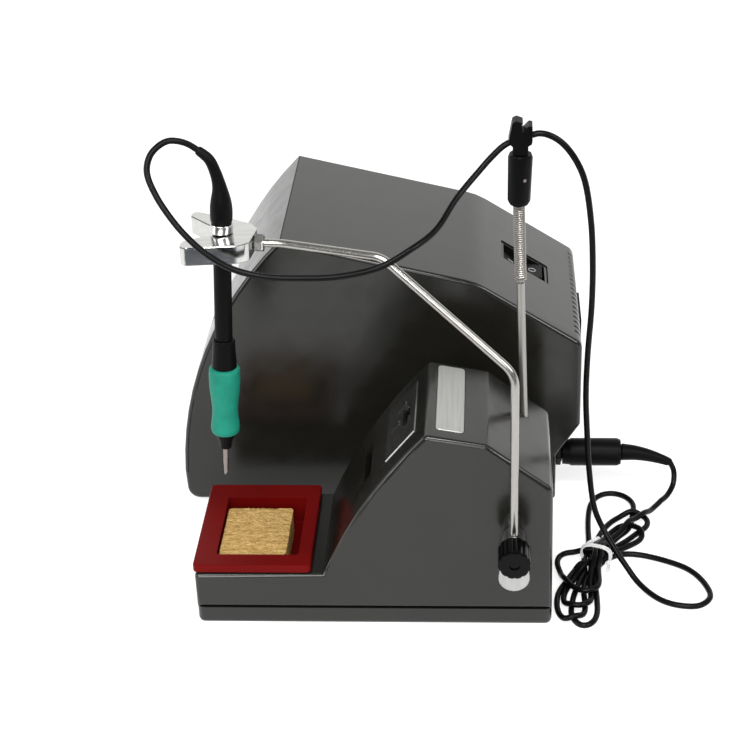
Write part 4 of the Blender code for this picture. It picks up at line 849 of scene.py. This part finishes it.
def make_floor():
    """A pale floor, and a white wall far round it that only the camera sees."""
    bm = bmesh.new()
    bmesh.ops.create_circle(bm, cap_ends=True, radius=FLOOR_R, segments=96)
    look = Look("floor", (0.45, 0.45, 0.45), 0.7, Specular_IOR_Level=0.1, Emission_Color=(1, 1, 1, 1),
                Emission_Strength=0.72)
    look.vary(look.noise(6, 3), 0.01)
    look.bump(look.noise(400, 3), 0.02, 0.0002)
    made("floor", bm, look.material)
    wall = bmesh.new()
    bmesh.ops.create_cone(wall, cap_ends=False, radius1=BACKDROP_R, radius2=BACKDROP_R,
                          depth=2 * BACKDROP_HEIGHT, segments=96)
    look = Look("backdrop", (0.8, 0.8, 0.8), 0.9, Emission_Color=(1, 1, 1, 1), Emission_Strength=1.0)
    look.vary(look.noise(2, 2), 0.01)
    backdrop = made("backdrop", wall, look.material)
    for kind in ("diffuse", "glossy", "transmission", "shadow"):
        setattr(backdrop, "visible_" + kind, False)


# ---- light -------------------------------------------------------------------------------
TENT_DIM, TENT_BACK = 0.26, 1.18  # the tent's brightness at the front, and on its back wall
WALL_FROM, WALL_FULL = 0.25, 0.75  # how far to the back it starts to brighten, and is brightest
LIT = (0, 0, 0.08)  # where the boxes point
FLAG = (1.2, -1.5, -0.43, 0.004)  # half width, near edge, far edge and height of the dark card


def area(name, place, target, size, power):
    data = bpy.data.lights.new(name, "AREA")
    data.shape, data.energy = "RECTANGLE", power
    data.size, data.size_y = size
    obj = bpy.data.objects.new(name, data)
    obj.location = place
    obj.rotation_mode = "QUATERNION"
    obj.rotation_quaternion = (Vector(target) - Vector(place)).to_track_quat("-Z", "Y")
    bpy.context.scene.collection.objects.link(obj)


def flag(name, corners, colour):
    """A studio card: seen in gloss, and not by the camera."""
    bm = bmesh.new()
    bm.faces.new([bm.verts.new(p) for p in corners])
    look = Look(name, colour, 0.9, Specular_IOR_Level=0.0)
    look.vary(look.noise(3, 2), 0.05)
    card = made(name, bm, look.material)
    card.visible_camera = card.visible_shadow = card.visible_diffuse = False


def make_tent():
    """A tent round the table: dim to the front and sides, a bright wall at the back."""
    world = bpy.data.worlds.new("tent")
    bpy.context.scene.world = world
    world.use_nodes = True
    tree = world.node_tree
    sky = tree.nodes["Background"]
    where = tree.nodes.new("ShaderNodeTexCoord")
    split = tree.nodes.new("ShaderNodeSeparateXYZ")
    back = tree.nodes.new("ShaderNodeMapRange")
    back.interpolation_type = "SMOOTHSTEP"
    for i, x in enumerate((WALL_FROM, WALL_FULL, TENT_DIM, TENT_BACK), 1):
        back.inputs[i].default_value = x
    tree.links.new(where.outputs["Generated"], split.inputs[0])
    tree.links.new(split.outputs["Y"], back.inputs[0])
    tree.links.new(back.outputs[0], sky.inputs["Strength"])
    sky.inputs["Color"].default_value = (1.0, 1.0, 0.99, 1)


def make_light():
    """A white tent, a large soft box behind the camera, smaller ones overhead and at the sides."""
    make_tent()
    area("front", (-0.35, -2.0, 1.15), LIT, (1.6, 1.0), 38)
    area("right", (1.15, -0.75, 1.05), LIT, (0.45, 0.7), 12)
    area("left", (-1.35, -0.45, 0.52), LIT, (0.45, 0.7), 7)
    area("overhead", (0.05, -0.72, 1.25), (0, 0.0, 0), (0.8, 0.2), 12)
    half, near, far, height = FLAG
    corners = [(-half, near, height), (half, near, height), (half, far, height), (-half, far, height)]
    flag("front_flag", corners, (0.020, 0.026, 0.036))
    bpy.context.scene.view_settings.view_transform = "Standard"


def main():
    make_camera()
    m = make_materials()
    make_cord(m, [make_boots(m), make_tie(m)])
    dress(m)
    make_arm(m)
    make_grip(m)
    make_spring(m)
    make_sponge(m)
    make_jaws(m)
    make_small_marks(m)
    make_switch_marks(m)
    make_floor()
    make_light()


main()
